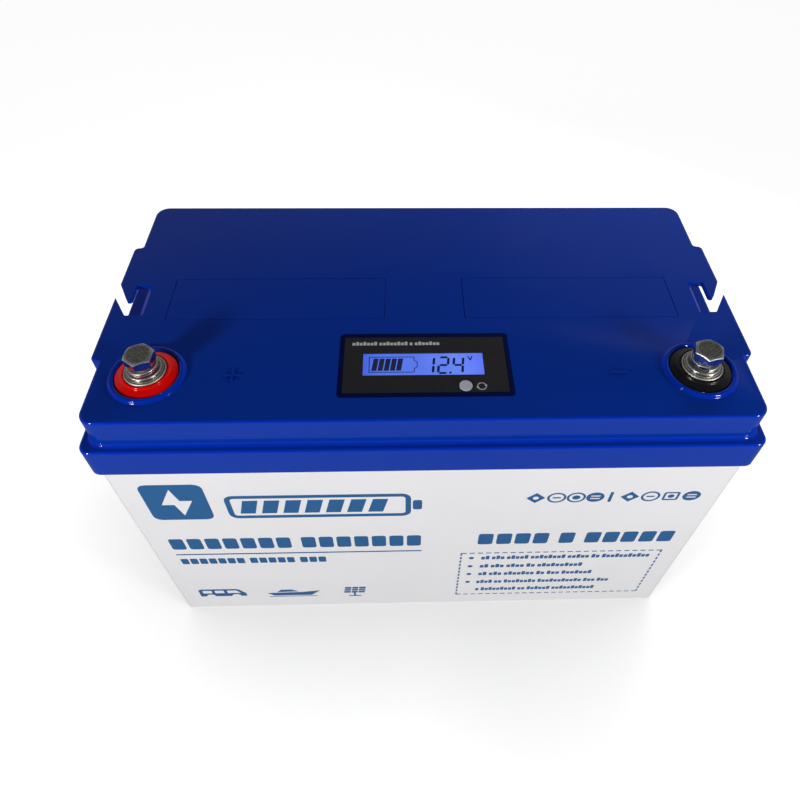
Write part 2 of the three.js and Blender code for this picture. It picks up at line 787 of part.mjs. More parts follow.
/** Tray on feet over the cells, with four posts for the board and notches for the cables. */
function makeBmsTray() {
  const { length, width, bottom, thick } = TRAY;
  let tray = solid(block(length, width, 4, bottom, bottom + thick));
  for (const side of [-1, 1]) {
    tray = tray.subtract(solid(block(24, 30, 3, bottom - 1, bottom + 3, side * 98, -46)));
    for (const row of [-1, 1]) {
      const post = rod(3.5, bottom + 1, BMS.bottom - SEAT, side * 70, row * 38, SMALL);
      const footX = side * (PACK_HALF + 1.6);
      const footBottom = CELL.floor + END_PLATE.high + 0.1;
      const foot = block(2.6, 14, 0.4, footBottom, bottom + 1, footX, row * 18);
      tray = tray.add(solid(post)).add(solid(foot));
    }
  }
  return tray;
}

/** Board with a row of power switches, two cable blocks and the cell sense plug. */
function makeBmsBoard() {
  const top = BMS.bottom + BMS.thick;
  let board = solid(block(BMS.length, BMS.width, 2, BMS.bottom, top));
  const part = (length, width, high, x, y) =>
    solid(block(length, width, 0.4, top - 0.5, top + high, x, y));
  for (let i = 0; i < 8; i++) {
    board = board.add(part(10, 9, 3, -49 + 14 * i, 0));
  }
  board = board.add(part(14, 14, 5, 62, -30)).add(part(14, 14, 5, 62, 30));
  return board.add(part(26, 6, 6, 0, 37)).add(part(8, 6, 5, -30, -37));
}

/** Finned heat sink over the power switches. */
function makeHeatSink() {
  const base = BMS.bottom + BMS.thick + 3 + SEAT;
  const { pitch, fin, count, high, thick } = { pitch: 9, fin: 2, count: 13, high: 9, thick: 3 };
  const half = ((count - 1) * pitch + fin) / 2;
  const section = [
    [-half, base],
    [half, base],
  ];
  for (let i = count - 1; i >= 0; i--) {
    const left = -half + i * pitch;
    section.push([left + fin, base + thick + high], [left, base + thick + high]);
    if (i > 0) section.push([left, base + thick], [left - pitch + fin, base + thick]);
  }
  return acrossWidth(section, -22, 22);
}

const LUG_END = { x: TERMINAL.x - 26.6, z: POST.bottom - 3.6 };
const TAB_END = Math.abs(cellX(1)) + 18;
const TAB_TOP = BOSS_TOP + BUSBAR.thick + 2 * SEAT;
const BOARD_TOP = BMS.bottom + BMS.thick;
const BLOCK_TOP = BOARD_TOP + 5 + FIT;

const POSITIVE_RUN = [
  [-TAB_END, -CELL_BOSS.y, TAB_TOP + 0.3],
  [-TAB_END, -CELL_BOSS.y, TAB_TOP + 12],
  [-TAB_END - 1, -56, 165],
  [-LUG_END.x + 6, TERMINAL.y, LUG_END.z],
  [-LUG_END.x, TERMINAL.y, LUG_END.z],
];
const PACK_NEGATIVE_RUN = [
  [TAB_END, -CELL_BOSS.y, TAB_TOP + 0.3],
  [TAB_END, -CELL_BOSS.y, TAB_TOP + 14],
  [TAB_END - 10, -36, 156],
  [62, -30, BLOCK_TOP + 10],
  [62, -30, BLOCK_TOP],
];
const NEGATIVE_RUN = [
  [62, 30, BLOCK_TOP],
  [62, 30, BLOCK_TOP + 10],
  [78, 6, 176],
  [LUG_END.x - 16, TERMINAL.y + 8, LUG_END.z - 2],
  [LUG_END.x - 6, TERMINAL.y, LUG_END.z],
  [LUG_END.x, TERMINAL.y, LUG_END.z],
];
const DISPLAY_RUN = [
  [-20, DISPLAY.y, 204.4],
  [-20, DISPLAY.y, 196],
  [-26, -44, 170],
  [-30, -37, BLOCK_TOP + 10],
  [-30, -37, BLOCK_TOP],
];
const SENSE_RUN = [
  [0, 40.5, BOARD_TOP + 3],
  [0, 48, BOARD_TOP + 3],
  [-8, 60, 136],
  [-30, 64, 128],
  [-75, 66, 126],
];
const SENSOR_RUN = [
  [9, 4, 127],
  [9, 30, 127.5],
  [9, 58, 128.5],
  [9, 62, 136],
  [9, 50, BOARD_TOP + 3],
  [9, 40.8, BOARD_TOP + 3],
];

/** Bead of the temperature sensor with its lead. */
function makeSensor() {
  const bead = new THREE.SphereGeometry(2.4, 10, 8);
  bead.translate(9, 4, 125.6);
  return solid(bead).add(solid(cable(0.9, SENSOR_RUN, 16)));
}

// ---- assembly -----------------------------------------------------------------------------

piece("case", makeCase(), WHITE_PLASTIC);
piece("lid", makeLid(), BLUE_PLASTIC);
piece("lid_seal", makeLidSeal(), BLACK_RUBBER);

for (const [name, side, colour, wire] of [
  ["positive", -1, RED_PLASTIC, RED_CABLE],
  ["negative", 1, BLACK_PLASTIC, BLACK_CABLE],
]) {
  piece(`cover_strip_${side < 0 ? "left" : "right"}`, makeCoverStrip(side), BLUE_PLASTIC);
  piece(`terminal_insert_${name}`, makeInsert(side), colour);
  piece(`terminal_post_${name}`, makePost(side), BRASS);
  piece(`terminal_nut_${name}`, makePostNut(side), BRASS);
  piece(`cable_lug_${name}`, makeCableLug(side), COPPER);
  piece(`lug_screw_${name}`, makeLugScrew(side), STEEL);
  piece(`flat_washer_${name}`, makeFlatWasher(side), STEEL);
  piece(`spring_washer_${name}`, makeSpringWasher(side), STEEL);
  piece(`terminal_bolt_${name}`, makeBolt(side), STEEL);
  const run = side < 0 ? POSITIVE_RUN : NEGATIVE_RUN;
  piece(`cable_${name}`, cable(CABLE_RADIUS, run, 20), wire);
  piece(`busbar_${name}`, makeEndTab(side), COPPER);
  piece(`end_plate_${side < 0 ? "left" : "right"}`, makeEndPlate(side), FIBRE_BOARD);
  const foamX = (PACK_HALF + END_PLATE.thick + 0.8 + 158.6) / 2;
  const foamLength = 158.6 - (PACK_HALF + END_PLATE.thick + 0.8);
  const foam = block(foamLength, 156, 3, CELL.floor, CELL_TOP - 6, side * foamX);
  piece(`foam_${side < 0 ? "left" : "right"}`, foam, GREY_FOAM);
}

piece("display_bezel", makeBezel(), BLUE_PLASTIC);
piece("display_faceplate", makeFaceplate(), BLACK_PLASTIC);
piece("display_window", makeWindow(), CLEAR_WINDOW);
piece("lcd_panel", makeScreenLayer(209.8, 1), LCD_BLUE);
piece("lcd_backlight", makeScreenLayer(207, 2.6), DIFFUSER_WHITE);
piece("display_board", makeDisplayBoard(), BOARD_GREEN);
piece("display_housing", makeHousing(), BLACK_PLASTIC);
piece("display_button", makeButton(), GREY_RUBBER);
piece("switch_plunger", makePlunger(), BLACK_PLASTIC);
piece("push_switch", makeSwitch(), BLACK_PLASTIC);
piece("display_cable", cable(1.6, DISPLAY_RUN, 14), BLACK_CABLE);

for (const number of [1, 2, 3, 4]) {
  piece(`cell_${number}`, makeCell(number), CELL_BLUE);
}
for (const number of [1, 2, 3]) {
  piece(`cell_spacer_${number}`, makeSpacer(number), FIBRE_BOARD);
  piece(`cell_link_${number}`, makeLink(number), ALUMINIUM);
}
piece("pack_strap_lower", makeStrap(STRAP.levels[0]), STRAP_BLACK);
piece("pack_strap_upper", makeStrap(STRAP.levels[1]), STRAP_BLACK);
piece("foam_base", block(316, 158, 3, CASE.floor + 0.2, CELL.floor - SEAT), GREY_FOAM);

piece("bms_tray", makeBmsTray(), BLACK_PLASTIC);
piece("bms_board", makeBmsBoard(), BOARD_GREEN);
piece("bms_heat_sink", makeHeatSink(), ALUMINIUM);
piece("cable_pack_negative", cable(CABLE_RADIUS, PACK_NEGATIVE_RUN, 18), BLACK_CABLE);
piece("cell_sense_harness", cable(1.8, SENSE_RUN, 16), BLACK_CABLE);
piece("temperature_sensor", makeSensor(), BLACK_CABLE);

export default battery;
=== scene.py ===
"""A 12 V deep cycle battery: fine shapes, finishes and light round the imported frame.

Blender works in metres here, +Z up, in the frame's own axes. Positions come from the frame; the
small sizes that it does not hold, such as fillet radii and the print on the case, are named below.
"""

import json
import math

import bmesh
import bpy
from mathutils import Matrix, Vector


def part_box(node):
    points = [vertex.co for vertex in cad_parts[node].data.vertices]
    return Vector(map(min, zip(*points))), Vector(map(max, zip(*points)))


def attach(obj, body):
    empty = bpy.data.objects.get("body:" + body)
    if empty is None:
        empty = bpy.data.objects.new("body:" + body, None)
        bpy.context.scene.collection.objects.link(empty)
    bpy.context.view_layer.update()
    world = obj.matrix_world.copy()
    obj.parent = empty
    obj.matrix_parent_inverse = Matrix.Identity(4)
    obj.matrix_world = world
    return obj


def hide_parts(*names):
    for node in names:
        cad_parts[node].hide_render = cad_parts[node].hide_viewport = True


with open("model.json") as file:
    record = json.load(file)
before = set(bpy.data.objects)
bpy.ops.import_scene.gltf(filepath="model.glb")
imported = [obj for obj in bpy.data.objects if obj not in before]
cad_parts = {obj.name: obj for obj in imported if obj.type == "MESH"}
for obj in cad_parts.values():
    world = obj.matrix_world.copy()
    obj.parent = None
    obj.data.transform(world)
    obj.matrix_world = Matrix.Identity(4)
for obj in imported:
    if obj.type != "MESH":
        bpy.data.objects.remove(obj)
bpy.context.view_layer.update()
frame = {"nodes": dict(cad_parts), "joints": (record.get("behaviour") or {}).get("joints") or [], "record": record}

MM = 0.001

mounts = {m["name"]: Vector(m["pos_m"]) for m in frame["record"]["mounts"]}
LID_TOP = mounts["hold_down_top"].z
LEDGE = mounts["hold_down_ledge_left"].z
TAB_UNDER = mounts["lift_tab_left"].z
HALF_X, HALF_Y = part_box("lid")[1][:2]
CASE_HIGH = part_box("case")[1]

BLOCK = dict(half_x=161.3 * MM, half_y=82.8 * MM, corner=7.5 * MM, edge=1.5 * MM, foot=2.2 * MM)
TAB = dict(half_y=44 * MM, corner=3 * MM, overlap=0.4 * MM)
RECESS = dict(wall=148.5 * MM, half_y=41 * MM, sweep=8.5 * MM)
FLANGE = dict(edge=1.5 * MM, corner=6 * MM)
RIM = dict(outer=18 * MM, inner=15.3 * MM, high=2 * MM)
CASE = dict(draft=1 * MM, wall=2.5 * MM, floor=2.5 * MM, corner=4 * MM, foot=1.2 * MM)
MARK = dict(
    x=94.3 * MM, y=-54.7 * MM, arm=4 * MM, thick=1.1 * MM, corner=0.25 * MM, high=0.8 * MM
)

SAME_POINT = 0.002 * MM  # points nearer than this are one point

ENDS = ("positive", "negative")
STRIPS = ("cover_strip_left", "cover_strip_right")


def terminal_centre(end):
    """Upright axis of a terminal, from its bolt's hinge."""
    hinge = next(j for j in frame["joints"] if j["name"] == f"{end}_bolt_turn")
    return Vector((hinge["pos_m"][0], hinge["pos_m"][1], 0))


# ---- mesh tools ---------------------------------------------------------------------------


def new_object(name, mesh):
    piece = bpy.data.objects.new(name, mesh)
    bpy.context.scene.collection.objects.link(piece)
    return piece


def object_from(bm, name):
    bmesh.ops.recalc_face_normals(bm, faces=bm.faces)
    mesh = bpy.data.meshes.new(name)
    bm.to_mesh(mesh)
    bm.free()
    return new_object(name, mesh)


def quarter_turn(steps):
    """(sine, cosine) pairs at equal steps from 0 to a right angle."""
    angles = [k / steps * math.pi / 2 for k in range(steps + 1)]
    return [(math.sin(angle), math.cos(angle)) for angle in angles]


def square_outline(corners, steps=10):
    """Anticlockwise outline with square turns, each rounded; corners are (x, y, radius)."""
    points = []
    for i, (x, y, radius) in enumerate(corners):
        here = Vector((x, y))
        arriving = (here - Vector(corners[i - 1][:2])).normalized()
        leaving = (Vector(corners[(i + 1) % len(corners)][:2]) - here).normalized()
        centre = here - arriving * radius + leaving * radius
        for s, c in quarter_turn(steps):
            points.append(centre - leaving * radius * c + arriving * radius * s)
    return points


def rectangle(half_x, half_y, radius, centre=(0, 0), steps=10):
    x, y = centre[0], centre[1]
    signs = [(-1, -1), (1, -1), (1, 1), (-1, 1)]
    corners = [(x + sx * half_x, y + sy * half_y, radius) for sx, sy in signs]
    return square_outline(corners, steps)


def band(bm, here, there):
    """Strip of faces once round between two rings of vertices."""
    for i in range(len(here)):
        j = (i + 1) % len(here)
        bm.faces.new((here[i], here[j], there[j], there[i]))


def skin(name, rings):
    """Closed skin over rings of points; each ring goes once round and has as many points."""
    bm = bmesh.new()
    rings = [[bm.verts.new(point) for point in ring] for ring in rings]
    for here, there in zip(rings, rings[1:]):
        band(bm, here, there)
    bm.faces.new(rings[0][::-1])
    bm.faces.new(rings[-1])
    return object_from(bm, name)


def loft(name, layers):
    """Closed skin through (height, outline) layers, the lowest first."""
    return skin(name, [[(p.x, p.y, z) for p in points] for z, points in layers])


def prism(name, outline, bottom, top):
    return loft(name, [(bottom, outline), (top, outline)])


def round_point(centre, radius, angle, z):
    """Point at a radius and an angle about an upright axis."""
    return (centre.x + radius * math.cos(angle), centre.y + radius * math.sin(angle), z)


def turned(name, profile, centre, steps=96):
    """Turned part about an upright axis; the profile closes on itself or ends on the axis."""
    bm = bmesh.new()
    tiny = 1e-9
    on_axis = {
        i: bm.verts.new((centre.x, centre.y, z))
        for i, (radius, z) in enumerate(profile)
        if radius < tiny
    }
    rings = []
    for k in range(steps):
        angle = 2 * math.pi * k / steps
        ring = []
        for i, (radius, z) in enumerate(profile):
            place = round_point(centre, radius, angle, z)
            ring.append(on_axis[i] if i in on_axis else bm.verts.new(place))
        rings.append(ring)
    count = len(profile)
    spans = count - 1 if on_axis else count
    for k in range(steps):
        here, there = rings[k], rings[(k + 1) % steps]
        for i in range(spans):
            j = (i + 1) % count
            corners = dict.fromkeys([here[i], there[i], there[j], here[j]])
            bm.faces.new(list(corners))
    return object_from(bm, name)


def rod(name, radius, bottom, top, centre, steps=96):
    return turned(name, [(0, bottom), (radius, bottom), (radius, top), (0, top)], centre, steps)


def curve_points(start, control, end, steps=6):
    """Points of a bend from start to end that leans towards control, without its start."""
    start, control, end = Vector(start), Vector(control), Vector(end)
    points = []
    for k in range(1, steps + 1):
        t = k / steps
        near = start.lerp(control, t)
        points.append(near.lerp(control.lerp(end, t), t))
    return points


def eased(profile, steps=5):
    """A turned profile with rounded corners; its points are (radius, height, corner radius)."""
    points = []
    for i, (x, z, radius) in enumerate(profile):
        here = Vector((x, z))
        if not radius:
            points.append(here)
            continue
        before = here + (Vector(profile[i - 1][:2]) - here).normalized() * radius
        after = here + (Vector(profile[(i + 1) % len(profile)][:2]) - here).normalized() * radius
        points += [before] + curve_points(before, here, after, steps)
    return points


def apply_modifiers(piece):
    bpy.context.view_layer.update()
    graph = bpy.context.evaluated_depsgraph_get()
    mesh = bpy.data.meshes.new_from_object(
        piece.evaluated_get(graph), preserve_all_data_layers=True, depsgraph=graph
    )
    old = piece.data
    piece.modifiers.clear()
    piece.data = mesh
    bpy.data.meshes.remove(old)


def combine(target, tool, operation):
    """Changes target by tool, then throws the tool away."""
    modifier = target.modifiers.new("combine", "BOOLEAN")
    modifier.solver = "EXACT"
    modifier.operation = operation
    modifier.object = tool
    apply_modifiers(target)
    bpy.data.objects.remove(tool)


def cut(target, tool):
    combine(target, tool, "DIFFERENCE")


def join(target, tool):
    combine(target, tool, "UNION")


def merge_flat(piece):
    """Joins the coplanar faces that combining leaves, and drops doubled points."""
    angle = math.radians(0.3)
    bm = bmesh.new()
    bm.from_mesh(piece.data)
    bmesh.ops.remove_doubles(bm, verts=bm.verts, dist=SAME_POINT)
    bmesh.ops.dissolve_limit(bm, angle_limit=angle, verts=bm.verts, edges=bm.edges)
    bmesh.ops.recalc_face_normals(bm, faces=bm.faces)
    bm.to_mesh(piece.data)
    bm.free()


def add_bevel(piece, width, segments, angle):
    """Bevel that rounds the edges where faces meet at more than an angle in degrees."""
    bevel = piece.modifiers.new("edges", "BEVEL")
    bevel.width = width
    bevel.segments = segments
    bevel.limit_method = "ANGLE"
    bevel.angle_limit = math.radians(angle)
    return bevel


def soften(piece, width, segments=3):
    """Rounded edges, with smooth shading that leaves flat faces looking flat."""
    add_bevel(piece, width, segments, 35).miter_outer = "MITER_ARC"
    apply_modifiers(piece)
    piece.data.shade_smooth()
    weights = piece.modifiers.new("normals", "WEIGHTED_NORMAL")
    weights.keep_sharp = True
    weights.weight = 80
    apply_modifiers(piece)
    return piece


def shade_round(piece, angle=math.radians(30)):
    """Smooth shading for a turned part, creased where its profile turns sharply."""
    piece.data.shade_smooth()
    piece.data.set_sharp_from_angle(angle=angle)
    return piece


def middle_and_half(low, high):
    """Centre and half size of a box between two corners."""
    return (low + high) / 2, (high - low) / 2


def plate_for(node, name, corner, steps=5):
    """Flat plate with rounded corners that fills a CAD node's box."""
    low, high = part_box(node)
    centre, half = middle_and_half(low, high)
    return prism(name, rectangle(half.x, half.y, corner, centre, steps), low.z, high.z)


# ---- case and lid -------------------------------------------------------------------------


def case_front(z):
    """Depth of the case's front face at a height: it draws in a little towards the base."""
    foot = CASE["foot"]
    rise = (z - foot) / (CASE_HIGH.z - foot)
    return -(CASE_HIGH.y - CASE["draft"] * (1 - rise))


def make_case():
    def outline(inset, radius):
        return rectangle(CASE_HIGH.x - inset, CASE_HIGH.y - inset, radius)

    draft, wall, corner, foot = CASE["draft"], CASE["wall"], CASE["corner"], CASE["foot"]
    rounded_foot = [
        (foot * (1 - c), outline(draft + foot * (1 - s), corner)) for s, c in quarter_turn(6)
    ]
    case = loft("case_shell", rounded_foot + [(CASE_HIGH.z, outline(0, corner))])
    inside = [
        (CASE["floor"], outline(draft + wall, corner - wall)),
        (CASE_HIGH.z + 1 * MM, outline(wall, corner - wall)),
    ]
    cut(case, loft("inside", inside))
    return soften(case, 0.25 * MM)


def mirrored_outline(quarter, steps=10):
    """Outline made of one quarter's corners and its three mirror images."""

    def mirrored(sx, sy):
        return [(sx * x, sy * y, radius) for x, y, radius in quarter]

    corners = mirrored(1, 1) + mirrored(-1, 1)[::-1] + mirrored(-1, -1) + mirrored(1, -1)[::-1]
    return square_outline(corners, steps)


def plate_outline(inset):
    """The raised body seen from above, with a grip tab standing out at each end."""
    tab_x, tab_y = HALF_X - inset, TAB["half_y"] - inset
    end_x, side_y = BLOCK["half_x"] - inset, BLOCK["half_y"] - inset
    return mirrored_outline(
        [
            (tab_x, tab_y, max(TAB["corner"] - inset, 0.3 * MM)),
            (end_x, tab_y, 1.5 * MM + inset),
            (end_x, side_y, BLOCK["corner"] - inset),
        ]
    )


def rounded_over(outline, radius, top):
    """Layers of a rounded top edge: the outline moves in as it rises."""
    turns = quarter_turn(8)[1:]
    return [(top - radius * (1 - s), outline(radius * (1 - c))) for s, c in turns]


def make_raised_body():
    foot = BLOCK["foot"]

    def outline(outset):
        return rectangle(
            BLOCK["half_x"] + outset, BLOCK["half_y"] + outset, BLOCK["corner"] + outset
        )

    fillet = [(LEDGE + foot * (1 - c), outline(foot * (1 - s))) for s, c in quarter_turn(8)]
    sunk, top = (LEDGE - 2 * MM, outline(foot)), (TAB_UNDER + TAB["overlap"], outline(0))
    return loft("lid_shell", [sunk] + fillet + [top])


def make_recess(side):
    """Hollow under a grip tab: an upright back wall that sweeps out onto the flange."""
    wall, sweep = RECESS["wall"], RECESS["sweep"]
    far, high = HALF_X + 5 * MM, TAB_UNDER + 1 * MM
    section = [(far, LEDGE - 3 * MM), (far, high), (wall, high)]
    section += [(wall + sweep * (1 - c), LEDGE + sweep * (1 - s)) for s, c in quarter_turn(12)]
    section.append((wall + sweep, LEDGE - 3 * MM))
    ends = (-RECESS["half_y"], RECESS["half_y"])
    return skin("recess", [[(side * x, y, z) for x, z in section] for y in ends])


def make_hook_slot(side):
    """Hook-shaped slot in a grip tab: a pocket with a sloping inner side and a slanted way out."""
    tip, tip_radius = Vector((158.25, 1)), 1.45
    bend = [-0.468 - k / 8 * (math.pi - 0.468) for k in range(9)]
    hook = [tip + Vector((math.cos(a), math.sin(a))) * tip_radius for a in bend]

    def outline(inner):
        corners = [(inner, -12.5, 0.4), (157.1, -12.5, 0.6), (168, 5.6, 0), (168, 17.1, 0)]
        corners += [(p.x, p.y, 0) for p in hook]
        corners += [(156.8, 11.4, 1.2), (inner, 11.4, 0.6)]
        points = [Vector((side * p.x, p.y)) * MM for p in eased(corners, 6)]
        return points if side > 0 else points[::-1]

    top, under = outline(147.6), outline(150.6)
    return loft(
        "slot",
        [(TAB_UNDER - 2 * MM, under), (TAB_UNDER, under), (LID_TOP, top), (LID_TOP + 1 * MM, top)],
    )


def make_tab_walls():
    """Upright bar through the lid: once hollowed, its ends are the side walls of the grip tabs."""
    outline = rectangle(HALF_X, TAB["half_y"], TAB["corner"])
    return prism("tab_walls", outline, LEDGE - FLANGE["edge"] - 0.1 * MM, TAB_UNDER + TAB["overlap"])


def make_flange():
    def outline(inset):
        return rectangle(HALF_X - inset, HALF_Y - inset, FLANGE["corner"] - inset)

    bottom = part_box("lid")[0].z
    layers = [(bottom, outline(0.4 * MM)), (bottom + 0.15 * MM, outline(0.12 * MM))]
    layers += [(bottom + 0.4 * MM, outline(0)), (LEDGE - FLANGE["edge"], outline(0))]
    return loft("flange", layers + rounded_over(outline, FLANGE["edge"], LEDGE))


def make_top_plate():
    layers = [(TAB_UNDER, plate_outline(0)), (LID_TOP - BLOCK["edge"], plate_outline(0))]
    return loft("plate", layers + rounded_over(plate_outline, BLOCK["edge"], LID_TOP))


def make_lid_hollow():
    wall = 3 * MM
    end_x, side_y = BLOCK["half_x"] - wall, BLOCK["half_y"] - wall
    waist_x, waist_y = RECESS["wall"] - wall, RECESS["half_y"] + wall
    quarter = [(waist_x, waist_y, 2 * MM), (end_x, waist_y, 2 * MM), (end_x, side_y, 3 * MM)]
    return prism("hollow", mirrored_outline(quarter, 4), LEDGE - 8 * MM, LID_TOP - wall)


def make_rim(centre):
    """Raised round rim of a terminal, with a small fillet where it meets the lid."""
    half = (RIM["outer"] - RIM["inner"]) / 2
    middle = (RIM["outer"] + RIM["inner"]) / 2
    foot = 0.7 * MM
    sunk = 1.2 * MM
    level = LID_TOP - 0.02 * MM
    profile = [(RIM["inner"], LID_TOP - sunk), (RIM["outer"] + foot, LID_TOP - sunk)]
    for s, c in quarter_turn(5):
        profile.append((RIM["outer"] + foot * (1 - s), level + foot * (1 - c)))
    crown_steps = 24
    for k in range(crown_steps + 1):
        turn = k / crown_steps * math.pi
        height = LID_TOP + RIM["high"] - half + half * math.sin(turn)
        profile.append((middle + half * math.cos(turn), height))
    return turned("rim", profile, centre)


def cut_pocket(lid, node, gap, depth_under, corner):
    """Recess in the lid that a flush piece drops into."""
    low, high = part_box(node)
    centre, half = middle_and_half(low, high)
    outline = rectangle(half.x + gap, half.y + gap, corner, centre, 6)
    cut(lid, prism("pocket", outline, low.z - depth_under, LID_TOP + 1 * MM))


def fit_terminal(lid, centre):
    """Boss, hole, pocket and rim of one terminal."""
    boss_bottom = 203 * MM
    clearance = 7.3 * MM
    join(lid, rod("boss", RIM["outer"] - 1 * MM, boss_bottom, LID_TOP - 1 * MM, centre))
    cut(lid, rod("hole", clearance, boss_bottom - 3 * MM, LID_TOP, centre))
    cut(lid, rod("pocket", RIM["inner"], LID_TOP - 2 * MM, LID_TOP + 3 * MM, centre))
    join(lid, make_rim(centre))


def make_mark(name, side, outline):
    """Raised polarity mark with soft edges; its foot is sunk in the lid."""
    place = Vector((side * MARK["x"], MARK["y"]))
    mark = prism(name, [p + place for p in outline], LID_TOP - 0.3 * MM, LID_TOP + MARK["high"])
    return soften(mark, 0.15 * MM, 2)


def make_plus():
    arm, half, corner = MARK["arm"], MARK["thick"] / 2, MARK["corner"]
    quarter = [(arm, half, corner), (half, half, corner), (half, arm, corner)]
    return make_mark("mark_plus", -1, mirrored_outline(quarter, 4))


def make_minus():
    outline = rectangle(MARK["arm"], MARK["thick"] / 2, MARK["corner"], steps=4)
    return make_mark("mark_minus", 1, outline)


def make_lid():
    lid = make_raised_body()
    join(lid, make_tab_walls())
    for side in (-1, 1):
        cut(lid, make_recess(side))
    join(lid, make_flange())
    join(lid, make_top_plate())
    cut(lid, make_lid_hollow())
    skirt_wall = 2.5 * MM
    skirt = rectangle(HALF_X - skirt_wall, HALF_Y - skirt_wall, CASE["corner"] + 0.3 * MM)
    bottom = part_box("lid")[0].z - 1 * MM
    cut(lid, prism("skirt", skirt, bottom, LEDGE - 3.7 * MM))
    for side in (-1, 1):
        cut(lid, make_hook_slot(side))
    for strip in STRIPS:
        cut_pocket(lid, strip, 0.3 * MM, 0.25 * MM, 1.3 * MM)
    for end in ENDS:
        fit_terminal(lid, terminal_centre(end))
    cut_pocket(lid, "display_bezel", 0.2 * MM, 0.05 * MM, 2.2 * MM)
    cut_pocket(lid, "display_housing", 0.3 * MM, 0, 1.5 * MM)
    merge_flat(lid)
    return soften(lid, 0.3 * MM)


def make_cover_strip(node):
    return soften(plate_for(node, f"{node}_plate", 1 * MM, 6), 0.22 * MM)


# ---- terminals ----------------------------------------------------------------------------


def span(node):
    """(outer radius, lowest height, highest height) of a round CAD node."""
    low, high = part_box(node)
    return (high.x - low.x) / 2, low.z, high.z


def make_insert(end):
    """Coloured ring in the rim: a shallow cone that turns up into a collar round the post."""
    outer, low, high = span(f"terminal_insert_{end}")
    bore = span(f"terminal_post_{end}")[0] + 0.3 * MM
    edge = LID_TOP + 1.2 * MM
    cone_end = Vector((12.9 * MM, LID_TOP + 1.95 * MM))
    collar_side = Vector((11.5 * MM, high - 0.9 * MM))
    profile = [Vector((bore, low)), Vector((outer, low)), Vector((outer, edge - 0.35 * MM))]
    profile += curve_points(profile[-1], (outer, edge), (outer - 0.45 * MM, edge + 0.1 * MM))
    profile.append(cone_end)
    profile += curve_points(cone_end, (11.7 * MM, LID_TOP + 2.4 * MM), collar_side)
    profile += curve_points(collar_side, (11.35 * MM, high), (10.8 * MM, high))
    profile.append(Vector((bore + 0.1 * MM, high)))
    profile.append(Vector((bore, high - 0.1 * MM)))
    return shade_round(turned(f"insert_{end}", profile, terminal_centre(end), 128))


def make_post(end):
    """Round metal head on a shank, bored from both ends; its contact face is a raised land."""
    head, bottom, top = span(f"terminal_post_{end}")
    shank, bore, screw_bore, land = 7 * MM, 4.3 * MM, 3.3 * MM, 8.6 * MM
    web_under, web_top = 201 * MM, 204 * MM
    head_bottom = LID_TOP - 1.95 * MM
    shoulder = top - 0.1 * MM
    profile = eased(
        [
            (0, web_under, 0),
            (screw_bore, web_under, 0),
            (screw_bore, bottom, 0.3 * MM),
            (shank, bottom, 0.6 * MM),
            (shank, head_bottom, 0),
            (head, head_bottom, 0.3 * MM),
            (head, shoulder, 0.9 * MM),
            (land + 0.1 * MM, shoulder, 0),
            (land, top, 0.04 * MM),
            (bore, top, 0.4 * MM),
            (bore, web_top, 0),
            (0, web_top, 0),
        ]
    )
    return shade_round(turned(f"post_{end}", profile, terminal_centre(end), 128))


def make_flat_washer(end):
    """Pressed washer: its upper edges are rolled over by the die, its lower ones are crisp."""
    outer, low, high = span(f"flat_washer_{end}")
    hole = 4.3 * MM
    profile = eased(
        [
            (hole, low, 0.1 * MM),
            (outer, low, 0.15 * MM),
            (outer, high, 0.6 * MM),
            (hole, high, 0.35 * MM),
        ]
    )
    return shade_round(turned(f"washer_{end}", profile, terminal_centre(end), 128))


def make_spring_washer(end):
    """Split washer: a square wire with soft corners that climbs once round and does not close."""
    outer, low, high = span(f"spring_washer_{end}")
    inner, thick, split = 4.3 * MM, 2 * MM, math.radians(7)
    start = math.radians({"positive": -200, "negative": -96}[end]) + split / 2
    rise = high - low - thick
    centre = terminal_centre(end)
    middle = ((outer + inner) / 2, thick / 2)
    section = rectangle((outer - inner) / 2, thick / 2, 0.4 * MM, middle, 4)
    steps = 120
    rings = []
    for k in range(steps + 1):
        part = k / steps
        angle = start + part * (2 * math.pi - split)
        lift = low + rise * part
        rings.append([round_point(centre, p.x, angle, lift + p.y) for p in section])
    return shade_round(skin(f"spring_{end}", rings))


def make_bolt_head(end, bottom, top):
    """Hexagon head: corners cut by a cone, a turned washer face below and a dished top."""
    centre = terminal_centre(end)
    turn = math.radians({"positive": 54.3, "negative": 43}[end])
    flat = 6.5 * MM
    cone = math.tan(math.radians(30))
    top_circle = 0.96 * flat
    washer_face, face_high = 0.96 * flat, 0.35 * MM
    sides, per_side = 6, 16
    steps = sides * per_side

    ease = 0.28 * MM

    def upright(hexagon):
        """(radius, height) points from the underside to the top, where the hexagon reaches so far."""
        base = bottom + face_high + 0.3 * (hexagon - flat)
        corner = top - (hexagon - top_circle) * cone
        return [
            (3 * MM, bottom),
            (washer_face - 0.1 * MM, bottom),
            (washer_face, bottom + 0.1 * MM),
            (washer_face, bottom + face_high),
            (hexagon - ease, base),
            (hexagon, base + ease),
            (hexagon, corner - ease),
            (hexagon - 0.6 * ease, corner + 0.3 * ease),
            (top_circle + 0.03 * MM, top - 0.05 * MM),
            (top_circle - 0.15 * MM, top),
            (top_circle - 0.45 * MM, top),
            (top_circle - 0.75 * MM, top - 0.12 * MM),
            (2 * MM, top - 0.14 * MM),
        ]

    columns = []
    for k in range(steps):
        angle = 2 * math.pi * k / steps
        off_flat = (angle + math.pi / sides) % (2 * math.pi / sides) - math.pi / sides
        points = upright(flat / math.cos(off_flat))
        columns.append([round_point(centre, radius, angle + turn, z) for radius, z in points])
    return skin(f"bolt_{end}", [list(ring) for ring in zip(*columns)])


